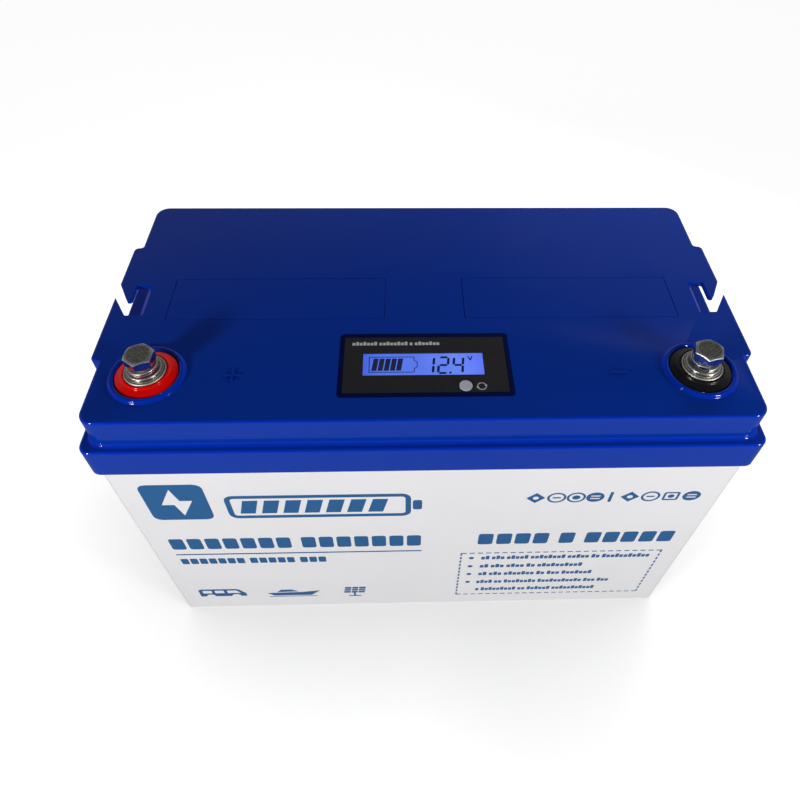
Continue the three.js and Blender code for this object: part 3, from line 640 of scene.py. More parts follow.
def make_thread(end, bottom, top):
    """Shank with a right-hand metric thread and a bevelled tip."""
    centre = terminal_centre(end)
    crest, pitch, depth = 4 * MM, 1.25 * MM, 0.62 * MM
    around, per_turn = 48, 10
    rows = round((top - bottom) / pitch * per_turn)
    rings = []
    for row in range(rows + 1):
        z = bottom + (top - bottom) * row / rows
        tip = min(1, (z - bottom) / (1.2 * MM))
        ring = []
        for k in range(around):
            phase = ((z - bottom) / pitch - k / around) % 1
            groove = max(0, 1 - abs(phase - 0.5) * 2.3)
            radius = (crest - depth * groove) * (0.84 + 0.16 * tip)
            ring.append(round_point(centre, radius, 2 * math.pi * k / around, z))
        rings.append(ring)
    return skin("thread", rings)


def make_bolt(end):
    low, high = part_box(f"terminal_bolt_{end}")
    seat = high.z - 5.3 * MM
    bolt = make_bolt_head(end, seat, high.z)
    join(bolt, make_thread(end, low.z, seat + 1 * MM))
    return shade_round(bolt, math.radians(18))


# ---- display ------------------------------------------------------------------------------


def cut_window(piece, node, corner, gap):
    """Upright rectangular hole through a flat piece, over a CAD node's box grown by a gap."""
    low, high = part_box(node)
    centre, half = middle_and_half(low, high)
    outline = rectangle(half.x + gap, half.y + gap, corner, centre, 5)
    cut(piece, prism("window", outline, low.z - 10 * MM, high.z + 10 * MM))


def make_bezel():
    """Frame of the display, flush with the lid; it meets the plate in a narrow shadow line."""
    bezel = plate_for("display_bezel", "bezel", 2 * MM, 10)
    cut_window(bezel, "display_faceplate", 0.8 * MM, 0.15 * MM)
    return soften(bezel, 0.15 * MM)


def make_faceplate():
    plate = plate_for("display_faceplate", "faceplate", 0.6 * MM)
    cut_window(plate, "display_window", 0.4 * MM, 0.12 * MM)
    middle, _ = middle_and_half(*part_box("display_button"))
    low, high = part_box("display_faceplate")
    cut(plate, rod("hole", 3.42 * MM, low.z - 1 * MM, high.z + 1 * MM, middle, 64))
    return soften(plate, 0.08 * MM, 2)


def make_window():
    return soften(plate_for("display_window", "window_pane", 0.3 * MM), 0.08 * MM, 2)


def make_button():
    """Round button with a soft edge and a slightly dished top, on a flange under the plate."""
    low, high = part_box("display_button")
    centre, half = middle_and_half(low, high)
    radius = 3.2 * MM
    plate_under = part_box("display_faceplate")[0].z - 0.2 * MM
    profile = eased(
        [
            (0, low.z, 0),
            (half.x, low.z, 0.1 * MM),
            (half.x, plate_under, 0.1 * MM),
            (radius, plate_under, 0),
            (radius, high.z, 0.45 * MM),
            (radius - 0.9 * MM, high.z, 0.3 * MM),
            (radius - 1.6 * MM, high.z - 0.1 * MM, 0.3 * MM),
            (0, high.z - 0.13 * MM, 0),
        ]
    )
    return shade_round(turned("button_cap", profile, centre))


# ---- flat drawings ------------------------------------------------------------------------


class Drawing:
    """Flat shapes printed on a surface, as thin solids; place(u, v, height) gives their points."""

    def __init__(self, place, thick):
        self.bm = bmesh.new()
        self.place = place
        self.thick = thick

    def ring_of(self, outline, height):
        return [self.bm.verts.new(self.place(p[0], p[1], height)) for p in outline]

    def shape(self, outline, hole=None):
        """Closed shape; a hole has as many points as the outline and lies inside it."""
        low, high = self.ring_of(outline, 0), self.ring_of(outline, self.thick)
        band(self.bm, low, high)
        if hole:
            inner_low, inner_high = self.ring_of(hole, 0), self.ring_of(hole, self.thick)
            band(self.bm, high, inner_high)
            band(self.bm, inner_high, inner_low)
            band(self.bm, inner_low, low)
        else:
            self.bm.faces.new(high)
            self.bm.faces.new(low[::-1])

    def box(self, left, bottom, right, top, radius):
        centre, half = middle_and_half(Vector((left, bottom)), Vector((right, top)))
        self.shape(rectangle(*half, radius, centre, 3))

    def frame(self, left, bottom, right, top, line, radius):
        centre, half = middle_and_half(Vector((left, bottom)), Vector((right, top)))
        outer = rectangle(*half, radius, centre, 4)
        inner = rectangle(half.x - line, half.y - line, max(radius - line, 0.05), centre, 4)
        self.shape(outer, inner)

    def bar(self, start, end, wide):
        start, end = Vector(start), Vector(end)
        across = (end - start).normalized().orthogonal() * wide / 2
        self.shape([start - across, end - across, end + across, start + across])

    def line(self, points, wide):
        for start, end in zip(points, points[1:]):
            self.bar(start, end, wide)

    def disc(self, centre, radius, steps=28):
        self.shape(circle(centre, radius, steps))

    def ring(self, centre, radius, line):
        self.shape(circle(centre, radius, 32), circle(centre, radius - line, 32))

    def arc(self, centre, radius, line, start, end):
        """Band along part of a circle, between two angles in degrees."""
        steps = 14
        away = [heading(math.radians(start + (end - start) * k / steps)) for k in range(steps + 1)]
        outer = [centre + way * radius for way in away]
        inner = [centre + way * (radius - line) for way in away]
        self.shape(outer + inner[::-1])

    def piece(self, name):
        bmesh.ops.scale(self.bm, vec=(MM, MM, MM), verts=self.bm.verts)
        return object_from(self.bm, name)


def heading(angle):
    return Vector((math.cos(angle), math.sin(angle)))


def circle(centre, radius, steps):
    return [Vector(centre) + heading(2 * math.pi * k / steps) * radius for k in range(steps)]


def draw_words(drawing, words, left, right, bottom, top, tall_only=False):
    """Rows of rounded blocks that stand where words would be; words are their letter counts."""
    gap, space = 0.24, 0.75
    units = sum(words) + gap * (sum(words) - len(words)) + space * (len(words) - 1)
    unit = (right - left) / units
    radius = min(unit * 0.22, (top - bottom) * 0.12)
    cursor, count = left, 0
    for letters in words:
        for _ in range(letters):
            tall = tall_only or math.sin(2.3 * count) > 0.35
            height = bottom + (top - bottom) * (1 if tall else 0.74)
            drawing.box(cursor, bottom, cursor + unit, height, radius)
            cursor += unit * (1 + gap)
            count += 1
        cursor += unit * (space - gap)


# ---- print on the case --------------------------------------------------------------------

# Millimetres on the front face: u across from the middle, and v up from the base.


def on_case_front(u, v, height):
    sunk = 0.02
    return (u, case_front(v * MM) / MM - height + sunk, v)


def draw_emblem(ink, knockout):
    """Rounded square with a bolt of lightning left white."""
    ink.box(-149, 124.5, -116, 161, 4.5)
    centre = Vector((-132.5, 142.75))
    half_bolt = [(-1, 13.5), (-8.5, -2), (-1.8, -2)]
    bolt = half_bolt + [(-u, -v) for u, v in half_bolt]
    knockout.shape([centre + Vector(p) for p in bolt])


def draw_gauge(ink):
    """Long charge gauge: an outlined cell with a nub and slanted bars."""
    ink.frame(-107.5, 125, -8, 149, 3, 5)
    ink.box(-7, 132, -2, 142, 1.4)
    bars, slant, wide, pitch = 7, 3.2, 8.2, 11.6
    for k in range(bars):
        left = -101.2 + k * pitch
        low, high = 130.2, 143.8
        ink.shape([(left, low), (left + wide, low), (left + wide + slant, high), (left + slant, high)])


def draw_van(ink, knockout):
    side = [(-148.2, 18.4), (-117.6, 18.4), (-117.6, 22.6), (-121.4, 28.6), (-123.4, 29.6)]
    ink.shape(side + [(-146.6, 29.6), (-148.2, 28)])
    for wheel in (-141.4, -124.6):
        knockout.disc((wheel, 18.4), 3)
        ink.disc((wheel, 18), 2.3)
    knockout.box(-145.8, 23.4, -139.8, 27.4, 0.6)
    knockout.box(-137.8, 23.4, -131.8, 27.4, 0.6)
    knockout.shape([(-129.6, 23.4), (-121, 23.4), (-123.6, 27.4), (-129.6, 27.4)])


def draw_boat(ink):
    ink.shape([(-103.6, 22), (-99.6, 17.8), (-74.6, 17.8), (-68.2, 25), (-80, 22.8)])
    ink.shape([(-97, 23.2), (-82.6, 24), (-87, 27), (-94, 27)])
    ink.bar((-103, 16.2), (-71, 16.2), 0.8)


def draw_solar_panel(ink, knockout):
    ink.shape([(-52.6, 20.2), (-38.8, 20.2), (-37.6, 29.4), (-51.4, 29.4)])
    for k in (1, 2):
        across = k * 13.8 / 3
        knockout.bar((-52.6 + across, 20.2), (-51.4 + across, 29.4), 0.6)
        up = 20.2 + k * 9.2 / 3
        knockout.bar((-52.5, up), (-37.7, up), 0.6)
    ink.bar((-45.5, 15.4), (-45.5, 20.4), 1.3)
    ink.box(-49.8, 14.6, -41.2, 15.8, 0.4)


def draw_tokens(ink, knockout):
    """Row of plain geometric tokens, alike in size."""
    middle, size = 142.2, 5.2
    for u in (59.5, 110.9):
        ink.shape([(u, middle - size), (u + size, middle), (u, middle + size), (u - size, middle)])
        knockout.disc((u, middle), 1.6)
    for u in (70.9, 122.3):
        ink.ring((u, middle), size, 1.3)
        ink.bar((u - 2.2, middle), (u + 2.2, middle), 1.3)
    ink.ring((81.6, middle), size, 1.3)
    ink.disc((81.6, middle), 2.2)
    for u in (92, 144.9):
        ink.disc((u, middle), size * 0.95)
        for lift in (-1.3, 1.3):
            knockout.bar((u - 2.6, middle + lift), (u + 2.6, middle + lift), 1)
    ink.box(99.5, middle - size, 101.3, middle + size, 0.7)
    ink.frame(129.2, middle - 4.2, 138, middle + 4.2, 1.3, 1.2)
    ink.disc((133.6, middle), 1.8)


def draw_dashes(ink, start, end):
    """Row of dashes that starts and ends with a whole one."""
    wide, dash, gap = 1.1, 3.2, 1.9
    start, end = Vector(start), Vector(end)
    along = (end - start).normalized()
    count = round(((end - start).length + gap) / (dash + gap))
    pitch = ((end - start).length + gap) / count
    for k in range(count):
        from_here = start + along * pitch * k
        ink.bar(from_here, from_here + along * (pitch - gap), wide)


def draw_note_box(ink):
    """Dashed box with bulleted rows of blocks in place of its wording."""
    left, right, bottom, top = 23.2, 147.5, 14, 76.5
    for level in (bottom, top):
        draw_dashes(ink, (left, level), (right, level))
    for edge in (left, right):
        draw_dashes(ink, (edge, bottom), (edge, top))
    rows = [
        (67.6, 36, 141.6, [2, 3, 5, 8, 5, 2, 11]),
        (55.8, 36, 101.4, [2, 3, 4, 2, 10]),
        (44.2, 36, 109.8, [2, 3, 7, 2, 3, 7]),
        (31.9, 35.6, 123.6, [4, 2, 8, 11, 3, 3]),
        (20, 35.8, 116.3, [1, 9, 2, 6, 11]),
    ]
    for base, start, end, words in rows:
        draw_words(ink, words, start, end, base, base + 4.9)
    for base, *_ in rows[:4]:
        ink.disc((29.8, base + 2.2), 1.6, 16)


def print_case():
    """All the print on the front of the case: (blue solids, white solids that lie over them)."""
    ink = Drawing(on_case_front, 0.06)
    knockout = Drawing(on_case_front, 0.09)
    draw_emblem(ink, knockout)
    draw_gauge(ink)
    draw_words(ink, [7, 7], -148.7, -2, 88.2, 101.4, True)
    ink.bar((-148.8, 81.4), (-1.5, 81.4), 1.4)
    draw_words(ink, [7, 5, 3], -148, -60, 68.4, 75.6, True)
    draw_van(ink, knockout)
    draw_boat(ink)
    draw_solar_panel(ink, knockout)
    draw_tokens(ink, knockout)
    draw_words(ink, [4, 1, 5], 32, 149, 88.4, 101.6, True)
    draw_note_box(ink)
    return ink.piece("case_print_blue"), knockout.piece("case_print_white")


# ---- drawings on the display --------------------------------------------------------------


def level_at(height):
    """Places a drawing on a level surface at a height in metres."""

    def place(u, v, above):
        return (u, v, height / MM + above)

    return place


def draw_digit(segments, drawing, left, bottom, wide, tall, line):
    """Seven-segment figure, leaning a little; the segments are letters a to g, as usual."""
    lean = 0.1
    middle, gap = tall / 2, line * 0.62
    ends = {
        "a": ((gap, tall), (wide - gap, tall)),
        "b": ((wide, tall - gap), (wide, middle + gap)),
        "c": ((wide, middle - gap), (wide, gap)),
        "d": ((gap, 0), (wide - gap, 0)),
        "e": ((0, middle - gap), (0, gap)),
        "f": ((0, tall - gap), (0, middle + gap)),
        "g": ((gap, middle), (wide - gap, middle)),
    }
    for name in segments:
        start, end = (Vector(p) for p in ends[name])
        along = (end - start).normalized()
        across = along.orthogonal() * line / 2
        tip = along * line * 0.42
        corners = [start - tip, start - across, end - across, end + tip, end + across, start + across]
        drawing.shape([(left + p.x + lean * p.y, bottom + p.y) for p in corners])


def draw_screen():
    """Charge gauge with slanted bars, and a voltage in seven-segment figures: (figures, bars)."""
    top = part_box("lcd_panel")[1].z
    dark, faint = Drawing(level_at(top), 0.03), Drawing(level_at(top), 0.03)
    left, right, low, high = -28.5, -6.2, -52.4, -42.4
    tip, line = right + 1.5, 0.42
    waist = (low + high) / 2
    edge = [(right, high), (left, high), (left, low), (right, low), (right, waist - 2.6)]
    edge += [(tip, waist - 1.8), (tip, waist + 1.8), (right, waist + 2.6)]
    dark.line(edge + edge[:1], line)
    bars, wide, pitch, slant, inset = 5, 2.5, 3.05, 1.1, 1
    for k in range(bars):
        start = left + 1.1 + k * pitch
        foot, head = low + inset, high - inset
        end = start + wide
        faint.shape([(start, foot), (end, foot), (end + slant, head), (start + slant, head)])
    tall, digit_low, stroke = 10.4, -53.2, 1.25
    draw_digit("bc", dark, -1.5, digit_low, 4.4, tall, stroke)
    draw_digit("abged", dark, 5.5, digit_low, 4.6, tall, stroke)
    dark.disc((11.6, digit_low + 0.2), 0.65, 14)
    draw_digit("bcfg", dark, 12.9, digit_low, 4.6, tall, stroke)
    dark.line([(20.8, -42.1), (21.9, -44.8), (23, -42.1)], 0.6)
    return dark.piece("screen_figures"), faint.piece("screen_bars")


def draw_caption():
    """Light print on the plate: a row of blocks, and a refresh sign beside the button."""
    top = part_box("display_faceplate")[1].z
    light = Drawing(level_at(top), 0.03)
    draw_words(light, [7, 8, 1, 7], -37.2, 6.8, -35.5, -33)
    centre, radius, line = Vector((26.2, -62.9)), 2.3, 0.42
    for turn in (0, 180):
        light.arc(centre, radius, line, turn + 24, turn + 168)
        away = heading(math.radians(turn + 14))
        at = centre + away * (radius - line / 2)
        along = away.orthogonal()
        light.shape([at - along * 0.9, at + along * 0.35 + away * 0.75, at + along * 0.35 - away * 0.75])
    return light.piece("plate_print")


# ---- finishes -----------------------------------------------------------------------------

MAIN_SHADER = "Principled BSDF"


def add(tree, kind, links=None, values=None, **settings):
    """New shader node; links and values fill its inputs by name or number."""
    made = tree.nodes.new(kind)
    for key, value in settings.items():
        setattr(made, key, value)
    for key, value in (values or {}).items():
        made.inputs[key].default_value = value
    for key, socket in (links or {}).items():
        tree.links.new(socket, made.inputs[key])
    return made


def place_on(tree):
    """Place on the object, in metres."""
    return add(tree, "ShaderNodeTexCoord").outputs["Object"]


def split(tree, vector):
    """The X, Y and Z of a vector."""
    return add(tree, "ShaderNodeSeparateXYZ", {0: vector}).outputs


def reckon(tree, operation, *parts):
    """Result of a maths node; its parts are sockets and numbers."""
    made = add(tree, "ShaderNodeMath", operation=operation)
    for number, part in enumerate(parts):
        if isinstance(part, bpy.types.NodeSocket):
            tree.links.new(part, made.inputs[number])
        else:
            made.inputs[number].default_value = part
    return made.outputs[0]


def noise(tree, scale, detail=3.0, rough=0.5, vector=None):
    """Noise over the object in metres; scale is in patches per metre."""
    place = vector or place_on(tree)
    values = {"Scale": scale, "Detail": detail, "Roughness": rough}
    return add(tree, "ShaderNodeTexNoise", {"Vector": place}, values).outputs["Fac"]


def spread(tree, socket, low, high, between=(0.3, 0.7)):
    values = {"From Min": between[0], "From Max": between[1], "To Min": low, "To Max": high}
    return add(tree, "ShaderNodeMapRange", {"Value": socket}, values).outputs["Result"]


def mix_colours(tree, factor, first, second):
    made = add(tree, "ShaderNodeMix", {0: factor}, data_type="RGBA")
    for number, colour in ((6, first), (7, second)):
        if isinstance(colour, bpy.types.NodeSocket):
            tree.links.new(colour, made.inputs[number])
        else:
            made.inputs[number].default_value = (*colour, 1)
    return made.outputs[2]


def colour_ramp(tree, factor, stops):
    """Colours along a factor; stops are (position, colour)."""
    made = add(tree, "ShaderNodeValToRGB", {0: factor})
    elements = made.color_ramp.elements
    for position, _ in stops[1:-1]:
        elements.new(position)
    for element, (position, colour) in zip(elements, stops):
        element.position = position
        element.color = (*colour, 1)
    return made.outputs[0]


def add_bump(tree, height, metres):
    """Bump from a noise, so many metres high."""
    values = {"Strength": 1.0, "Distance": metres}
    bump = add(tree, "ShaderNodeBump", {"Height": height}, values)
    tree.links.new(bump.outputs["Normal"], tree.nodes[MAIN_SHADER].inputs["Normal"])


def tinted(colour, amount):
    return tuple(min(1, c * amount) for c in colour)


def material_with_nodes(name, keep_shader=True):
    """(material, its node tree); without its main shader if that is to be replaced."""
    material = bpy.data.materials.new(name)
    material.use_nodes = True
    tree = material.node_tree
    if not keep_shader:
        tree.nodes.remove(tree.nodes[MAIN_SHADER])
    return material, tree


def show(tree, shader):
    tree.links.new(shader.outputs[0], tree.nodes["Material Output"].inputs["Surface"])


def surface(name, colour, rough, metal=0.0, blotch=(60, 0.06), rough_vary=0.05, grain=None, gloss=0.5):
    """Material with soft colour blotches, uneven polish and a fine bump.

    blotch is (patches per metre, strength); grain is (bumps per metre, height in metres).
    rough is None where the caller sets the roughness itself.
    """
    material, tree = material_with_nodes(name)
    shader = tree.nodes[MAIN_SHADER]
    patches = spread(tree, noise(tree, blotch[0]), 0, 1)
    shades = (tinted(colour, 1 - blotch[1]), tinted(colour, 1 + blotch[1]))
    tree.links.new(mix_colours(tree, patches, *shades), shader.inputs["Base Color"])
    if rough is not None:
        polish = spread(tree, noise(tree, blotch[0] * 5, 5), rough - rough_vary, rough + rough_vary)
        tree.links.new(polish, shader.inputs["Roughness"])
    shader.inputs["Metallic"].default_value = metal
    shader.inputs["Specular IOR Level"].default_value = gloss
    if grain:
        add_bump(tree, noise(tree, grain[0], 2), grain[1])
    return material


def open_up(material):
    """(node tree, inputs of the main shader, the colour that feeds it) of a surface."""
    tree = material.node_tree
    inputs = tree.nodes[MAIN_SHADER].inputs
    return tree, inputs, inputs["Base Color"].links[0].from_socket


def facing(tree, kind="True Normal"):
    """Which way a face looks; its Z is 0 for a wall and 1 for a level top."""
    return split(tree, add(tree, "ShaderNodeNewGeometry").outputs[kind])


def sloping(tree, kind="True Normal"):
    """1 on rounded edges and slopes that look up, 0 on walls and level tops."""
    upward = facing(tree, kind)["Z"]
    off_wall = spread(tree, upward, 0, 1, (0.1, 0.4))
    off_level = spread(tree, upward, 1, 0, (0.9, 0.97))
    return reckon(tree, "MULTIPLY", off_wall, off_level)


def lid_plastic():
    """Glossy blue plastic with a painted highlight: a brighter blue is painted along its rounded edges; its
    reflection is duller on those that face the ends.
    """
    material = surface("lid_blue", (0.0012, 0.038, 0.39), 0.08, blotch=(9, 0.03), rough_vary=0.02)
    tree, inputs, flat = open_up(material)
    edge = sloping(tree, "Normal")
    # painted highlight: rounded edges and upward slopes get a brighter blue in place of the light they catch
    tree.links.new(mix_colours(tree, edge, flat, (0, 0.036, 0.58)), inputs["Base Color"])
    sideways = reckon(tree, "ABSOLUTE", facing(tree, "Normal")["X"])
    dull = reckon(tree, "MULTIPLY", edge, spread(tree, sideways, 0, 1, (0.35, 0.6)))
    tree.links.new(spread(tree, dull, 0.5, 0.08, (0, 1)), inputs["Specular IOR Level"])
    return material


def turned_metal():
    """Metal turned on a lathe: fine rings round the nearer terminal's axis, and matt sloping edges."""
    material = surface("post_metal", (0.80, 0.76, 0.68), None, metal=1.0, blotch=(400, 0.08))
    tree, inputs, _ = open_up(material)
    place = split(tree, place_on(tree))
    centre = terminal_centre("negative")
    x = reckon(tree, "SUBTRACT", reckon(tree, "ABSOLUTE", place["X"]), centre.x)
    y = reckon(tree, "SUBTRACT", place["Y"], centre.y)
    across = add(tree, "ShaderNodeCombineXYZ", {0: x, 1: y}).outputs[0]
    reach = add(tree, "ShaderNodeVectorMath", {0: across}, operation="LENGTH").outputs["Value"]
    line = add(tree, "ShaderNodeCombineXYZ", {0: reach}).outputs[0]
    tree.links.new(spread(tree, sloping(tree), 0.22, 0.55, (0, 1)), inputs["Roughness"])
    rings_per_metre, ring_height = 9000, 0.000002
    add_bump(tree, noise(tree, rings_per_metre, 2, 0.6, line), ring_height)
    return material


def bolt_metal():
    """Forged stainless steel: bright walls, satin slopes, and a flat top painted darker as painted shade, mottled
    by a noise.
    """
    material = surface(
        "bolt_steel", (0.95, 0.94, 0.88), None, metal=1.0, blotch=(500, 0.1), grain=(2200, 0.000008)
    )
    tree, inputs, bright = open_up(material)
    upward = facing(tree)["Z"]
    top = spread(tree, upward, 0, 1, (0.985, 0.995))
    pits = spread(tree, noise(tree, 1500, 4), 0, 1, (0.4, 0.65))
    # painted shade: the flat top is painted far darker than the walls, standing for the dark room overhead that it
    # reflects; the noise only mottles it
    dull = mix_colours(tree, pits, (0.28, 0.275, 0.25), (0.66, 0.65, 0.60))
    tree.links.new(mix_colours(tree, top, bright, dull), inputs["Base Color"])
    tree.links.new(spread(tree, upward, 0.13, 0.44, (0.1, 0.5)), inputs["Roughness"])
    return material


def clear_window():
    """Thin clear sheet: straight through, with a faint gloss over it."""
    material, tree = material_with_nodes("window_clear", keep_shader=False)
    clear = add(tree, "ShaderNodeBsdfTransparent", values={"Color": (0.96, 0.97, 0.98, 1)})
    haze = spread(tree, noise(tree, 300), 0.12, 0.2)
    gloss = add(tree, "ShaderNodeBsdfGlossy", {"Roughness": haze})
    slant = add(tree, "ShaderNodeLayerWeight", values={"Blend": 0.5}).outputs["Facing"]
    share = spread(tree, slant, 0.02, 0.35, (0.3, 1))
    show(tree, add(tree, "ShaderNodeMixShader", {0: share, 1: clear.outputs[0], 2: gloss.outputs[0]}))
    return material


def lit_screen():
    """Backlit liquid crystal: blue light, brightest in the middle and deeper at the right end."""
    low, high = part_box("display_window")
    material, tree = material_with_nodes("lcd_blue")
    inputs = tree.nodes[MAIN_SHADER].inputs
    share = spread(tree, split(tree, place_on(tree))["X"], 0, 1, (low.x, high.x))
    stops = [
        (0.0, (0.065, 0.14, 0.74)),
        (0.15, (0.10, 0.20, 0.84)),
        (0.45, (0.11, 0.205, 0.86)),
        (0.75, (0.15, 0.26, 0.92)),
        (1.0, (0.13, 0.21, 1.0)),
    ]
    shimmer = spread(tree, noise(tree, 90), 0.92, 1.06)
    tree.links.new(colour_ramp(tree, share, stops), inputs["Emission Color"])
    tree.links.new(shimmer, inputs["Emission Strength"])
    inputs["Base Color"].default_value = (0.02, 0.03, 0.15, 1)
    inputs["Roughness"].default_value = 0.3
    return material


# Finishes that surface() makes from plain values, by name; most are named as in the record.
PLAIN = {
    "case_white": dict(
        colour=(0.88, 0.868, 0.885), rough=0.4, blotch=(14, 0.012), grain=(3500, 0.000004)
    ),
    # painted shade: the bezel's near-black navy stands for the shade in the shallow recess round the display
    "bezel_navy": dict(colour=(0, 0.004, 0.06), rough=0.5, grain=(4000, 0.000002), gloss=0.1),
    "red_insert": dict(colour=(0.95, 0.003, 0.001), rough=0.1, blotch=(90, 0.05)),
    "black_plastic": dict(colour=(0.012, 0.012, 0.013), rough=0.25, blotch=(120, 0.2)),
    "copper": dict(colour=(0.80, 0.36, 0.20), rough=0.28, metal=1.0, blotch=(150, 0.12)),
    "aluminium": dict(
        colour=(0.78, 0.79, 0.80), rough=0.35, metal=1.0, blotch=(80, 0.06), grain=(6000, 0.00001)
    ),
    "cell_can": dict(colour=(0.03, 0.16, 0.42), rough=0.3, blotch=(40, 0.08)),
    "board_green": dict(
        colour=(0.015, 0.13, 0.05), rough=0.35, blotch=(700, 0.35), grain=(1600, 0.00005)
    ),
    "fibre_board": dict(
        colour=(0.50, 0.42, 0.26), rough=0.7, blotch=(500, 0.15), grain=(2500, 0.00004)
    ),
    "foam": dict(colour=(0.10, 0.10, 0.11), rough=0.95, blotch=(300, 0.25), grain=(1400, 0.0003)),
    "diffuser": dict(colour=(0.85, 0.86, 0.88), rough=0.5, blotch=(60, 0.02)),
    "button_grey": dict(colour=(0.58, 0.62, 0.72), rough=0.4, grain=(5000, 0.000004)),
    "rubber_black": dict(colour=(0.02, 0.02, 0.021), rough=0.8, grain=(2500, 0.00002)),
    "strap_black": dict(colour=(0.025, 0.025, 0.027), rough=0.6, grain=(1800, 0.00004)),
    "cable_red": dict(colour=(0.62, 0.02, 0.015), rough=0.45, grain=(1200, 0.00002)),
    "cable_black": dict(colour=(0.018, 0.018, 0.02), rough=0.45, grain=(1200, 0.00002)),
    "plate_black": dict(
        colour=(0.019, 0.0175, 0.021), rough=0.5, blotch=(250, 0.1), grain=(2600, 0.00001)
    ),
    "print_blue": dict(colour=(0.002, 0.115, 0.33), rough=0.5, blotch=(300, 0.04)),
    "print_grey": dict(colour=(0.62, 0.63, 0.66), rough=0.5, blotch=(900, 0.1)),
    "figure_dark": dict(colour=(0.012, 0.018, 0.13), rough=0.5, blotch=(600, 0.2)),
    "bar_dark": dict(colour=(0.045, 0.05, 0.17), rough=0.5, blotch=(600, 0.2)),
}


# ---- assembly -----------------------------------------------------------------------------

finish = {name: surface(name, **values) for name, values in PLAIN.items()}
finish["lid_blue"] = lid_plastic()
finish["post_metal"] = turned_metal()
finish["bolt_steel"] = bolt_metal()
finish["window_clear"] = clear_window()
finish["lcd_blue"] = lit_screen()
slot_of = {p["node"]: p["material_slot"] for p in frame["record"]["subparts"]}
body_of = {n: body for body, nodes in frame["record"]["behaviour"]["bodies"].items() for n in nodes}


def dress(piece, slot, look=None):
    """Gives a piece its slot, in that slot's finish unless it has a look of its own."""
    piece.data.materials.clear()
    piece.data.materials.append(finish[look or slot])


def stand_for(piece, node, look=None):
    """Puts a fine piece in the place of a CAD node, on its body."""
    dress(piece, slot_of[node], look)
    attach(piece, body_of[node])
    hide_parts(node)


def finish_cad(node):
    """Gives a CAD node its finish, and eases its edges with modifiers that leave its mesh alone."""
    piece = frame["nodes"][node]
    for place in piece.material_slots:
        place.link = "OBJECT"
        place.material = finish[slot_of[node]]
    piece.modifiers.new("weld", "WELD").merge_threshold = SAME_POINT
    add_bevel(piece, 0.2 * MM, 2, 50)


stand_for(make_lid(), "lid")
stand_for(make_case(), "case")
for strip in STRIPS:
    stand_for(make_cover_strip(strip), strip)
terminal_makers = {
    "terminal_insert": make_insert,
    "terminal_post": make_post,
    "flat_washer": make_flat_washer,
    "spring_washer": make_spring_washer,
    "terminal_bolt": make_bolt,
}
for end in ENDS:
    for node, make in terminal_makers.items():
        stand_for(make(end), f"{node}_{end}")
stand_for(make_bezel(), "display_bezel")
stand_for(make_faceplate(), "display_faceplate", "plate_black")
stand_for(make_window(), "display_window")
stand_for(make_button(), "display_button")

blue_print, white_print = print_case()
figures, bars = draw_screen()
flat_pieces = [
    (make_plus(), "lid_blue", None),
    (make_minus(), "lid_blue", None),
    (blue_print, "lid_blue", "print_blue"),
    (white_print, "case_white", None),
    (figures, "lcd_blue", "figure_dark"),
    (bars, "lcd_blue", "bar_dark"),
    (draw_caption(), "button_grey", "print_grey"),
]
for piece, slot, look in flat_pieces:
    dress(piece, slot, look)
    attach(piece, "root")

for node, piece in frame["nodes"].items():
    if not piece.hide_render:
        finish_cad(node)

# ---- stage --------------------------------------------------------------------------------

# painted shadow: the first value is the camera's glow against the case, a painted contact shadow
FLOOR_SHOWN_WITH_PAINTED_SHADOW = (0.46, 0.93)  # glow that the camera sees, against the case and out in the open
FLOOR_GLOW = 0.8  # glow that lights the battery from below
FLOOR_SEEN_IN_GLOSS = 0.17
FLOOR_GREY = (0.45, 0.45, 0.45, 1)


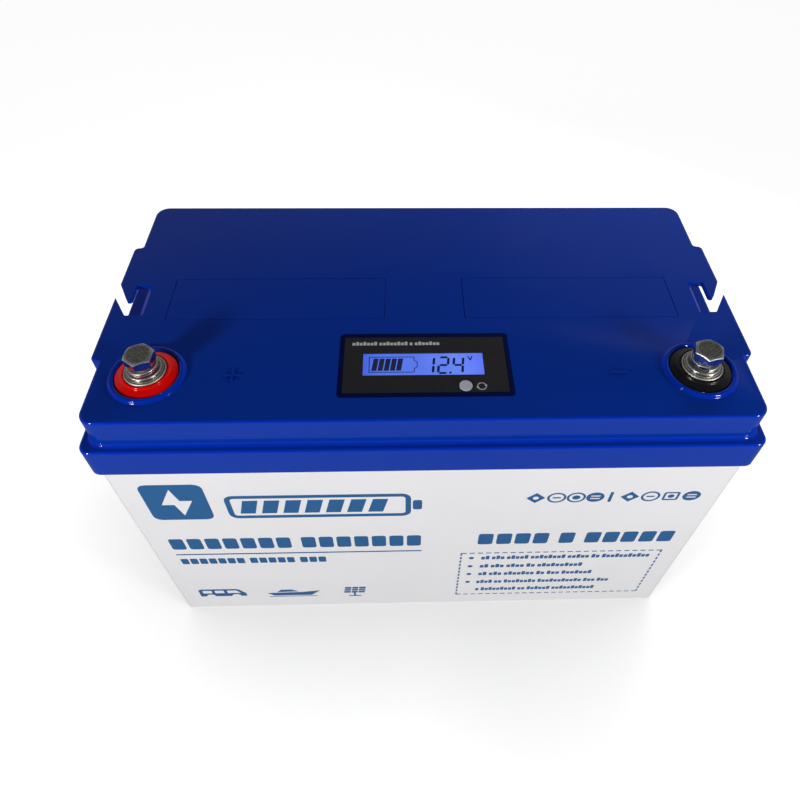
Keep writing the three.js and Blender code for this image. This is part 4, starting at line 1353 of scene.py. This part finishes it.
def studio_floor():
    """Plain white floor: it takes soft shadows from the lamps, and a painted shadow darkens the glow that the
    camera sees near the case; glossy faces see it as a mid grey.
    """
    mesh = bpy.data.meshes.new("floor")
    far = 9
    corners = [(-far, -far, 0), (far, -far, 0), (far, far, 0), (-far, far, 0)]
    mesh.from_pydata(corners, [], [(0, 1, 2, 3)])
    floor = new_object("floor", mesh)
    material, tree = material_with_nodes("floor", keep_shader=False)
    rays = add(tree, "ShaderNodeLightPath").outputs
    matt = add(tree, "ShaderNodeBsdfDiffuse", values={"Color": FLOOR_GREY})
    # painted shadow: ambient occlusion dims the floor's camera glow near the case, over a longer reach on the
    # right side
    reach = spread(tree, split(tree, place_on(tree))["X"], 0.16, 0.34, (0, 0.2))
    near = add(tree, "ShaderNodeAmbientOcclusion", {"Distance": reach}).outputs["AO"]
    shown_with_painted_shadow = spread(tree, near, *FLOOR_SHOWN_WITH_PAINTED_SHADOW, (0.5, 1))
    lift = add(tree, "ShaderNodeMix", {0: rays["Is Camera Ray"], 3: shown_with_painted_shadow}, {2: FLOOR_GLOW})
    glow = add(tree, "ShaderNodeEmission", {"Strength": lift.outputs[0]})
    lit = add(tree, "ShaderNodeAddShader", {0: matt.outputs[0], 1: glow.outputs[0]})
    seen = add(tree, "ShaderNodeEmission", values={"Strength": FLOOR_SEEN_IN_GLOSS})
    links = {0: rays["Is Glossy Ray"], 1: lit.outputs[0], 2: seen.outputs[0]}
    show(tree, add(tree, "ShaderNodeMixShader", links))
    floor.data.materials.append(material)


def studio_world():
    """White to the camera; it lights with a grey band low round the back, dim overhead and in front."""
    world = bpy.data.worlds.new("studio")
    bpy.context.scene.world = world
    world.use_nodes = True
    tree = world.node_tree
    background = tree.nodes["Background"]
    way = split(tree, add(tree, "ShaderNodeTexCoord").outputs["Generated"])
    levels = [(0.0, 0.31), (0.3, 0.25), (0.57, 0.155), (0.66, 0.06), (0.74, 0.03), (1.0, 0.03)]
    ramp = colour_ramp(tree, way["Z"], [(height, (grey,) * 3) for height, grey in levels])
    seen = add(tree, "ShaderNodeLightPath").outputs["Is Camera Ray"]
    behind = spread(tree, way["Y"], 0, 1, (-0.3, 0.4))
    grey = mix_colours(tree, behind, (0.03, 0.03, 0.03), ramp)
    colour = mix_colours(tree, seen, grey, (1, 1, 1))
    tree.links.new(colour, background.inputs["Color"])


def softbox(name, place, power, size=(0.1, 0.08)):
    """Area light that faces the middle of the lid."""
    light = bpy.data.lights.new(name, "AREA")
    light.shape = "RECTANGLE"
    light.size, light.size_y = size
    light.energy = power
    lamp = bpy.data.objects.new(name, light)
    bpy.context.scene.collection.objects.link(lamp)
    lamp.location = place
    aim = Vector((0, 0, LID_TOP)) - lamp.location
    lamp.rotation_euler = aim.to_track_quat("-Z", "Y").to_euler()
    return lamp


studio_floor()
studio_world()
softbox("key_left", (-0.46, -0.49, 0.41), 1.8)
softbox("key_right", (0.45, -0.39, 0.38), 1.3)
fill = softbox("fill", (0.25, 0.35, 0.40), 1.05, (0.3, 0.3))
fill.visible_glossy = False

camera_data = bpy.data.cameras.new("camera")
camera_data.sensor_width = 36
camera_data.lens = 30.07
camera_data.shift_x = -0.0293
camera_data.shift_y = -0.0364
camera = bpy.data.objects.new("camera", camera_data)
bpy.context.scene.collection.objects.link(camera)
camera.location = (-0.0120, -0.2678, 0.4589)
camera.rotation_euler = [math.radians(a) for a in (41.079, -1.015, -1.567)]
bpy.context.scene.camera = camera
bpy.context.scene.view_settings.view_transform = "Standard"
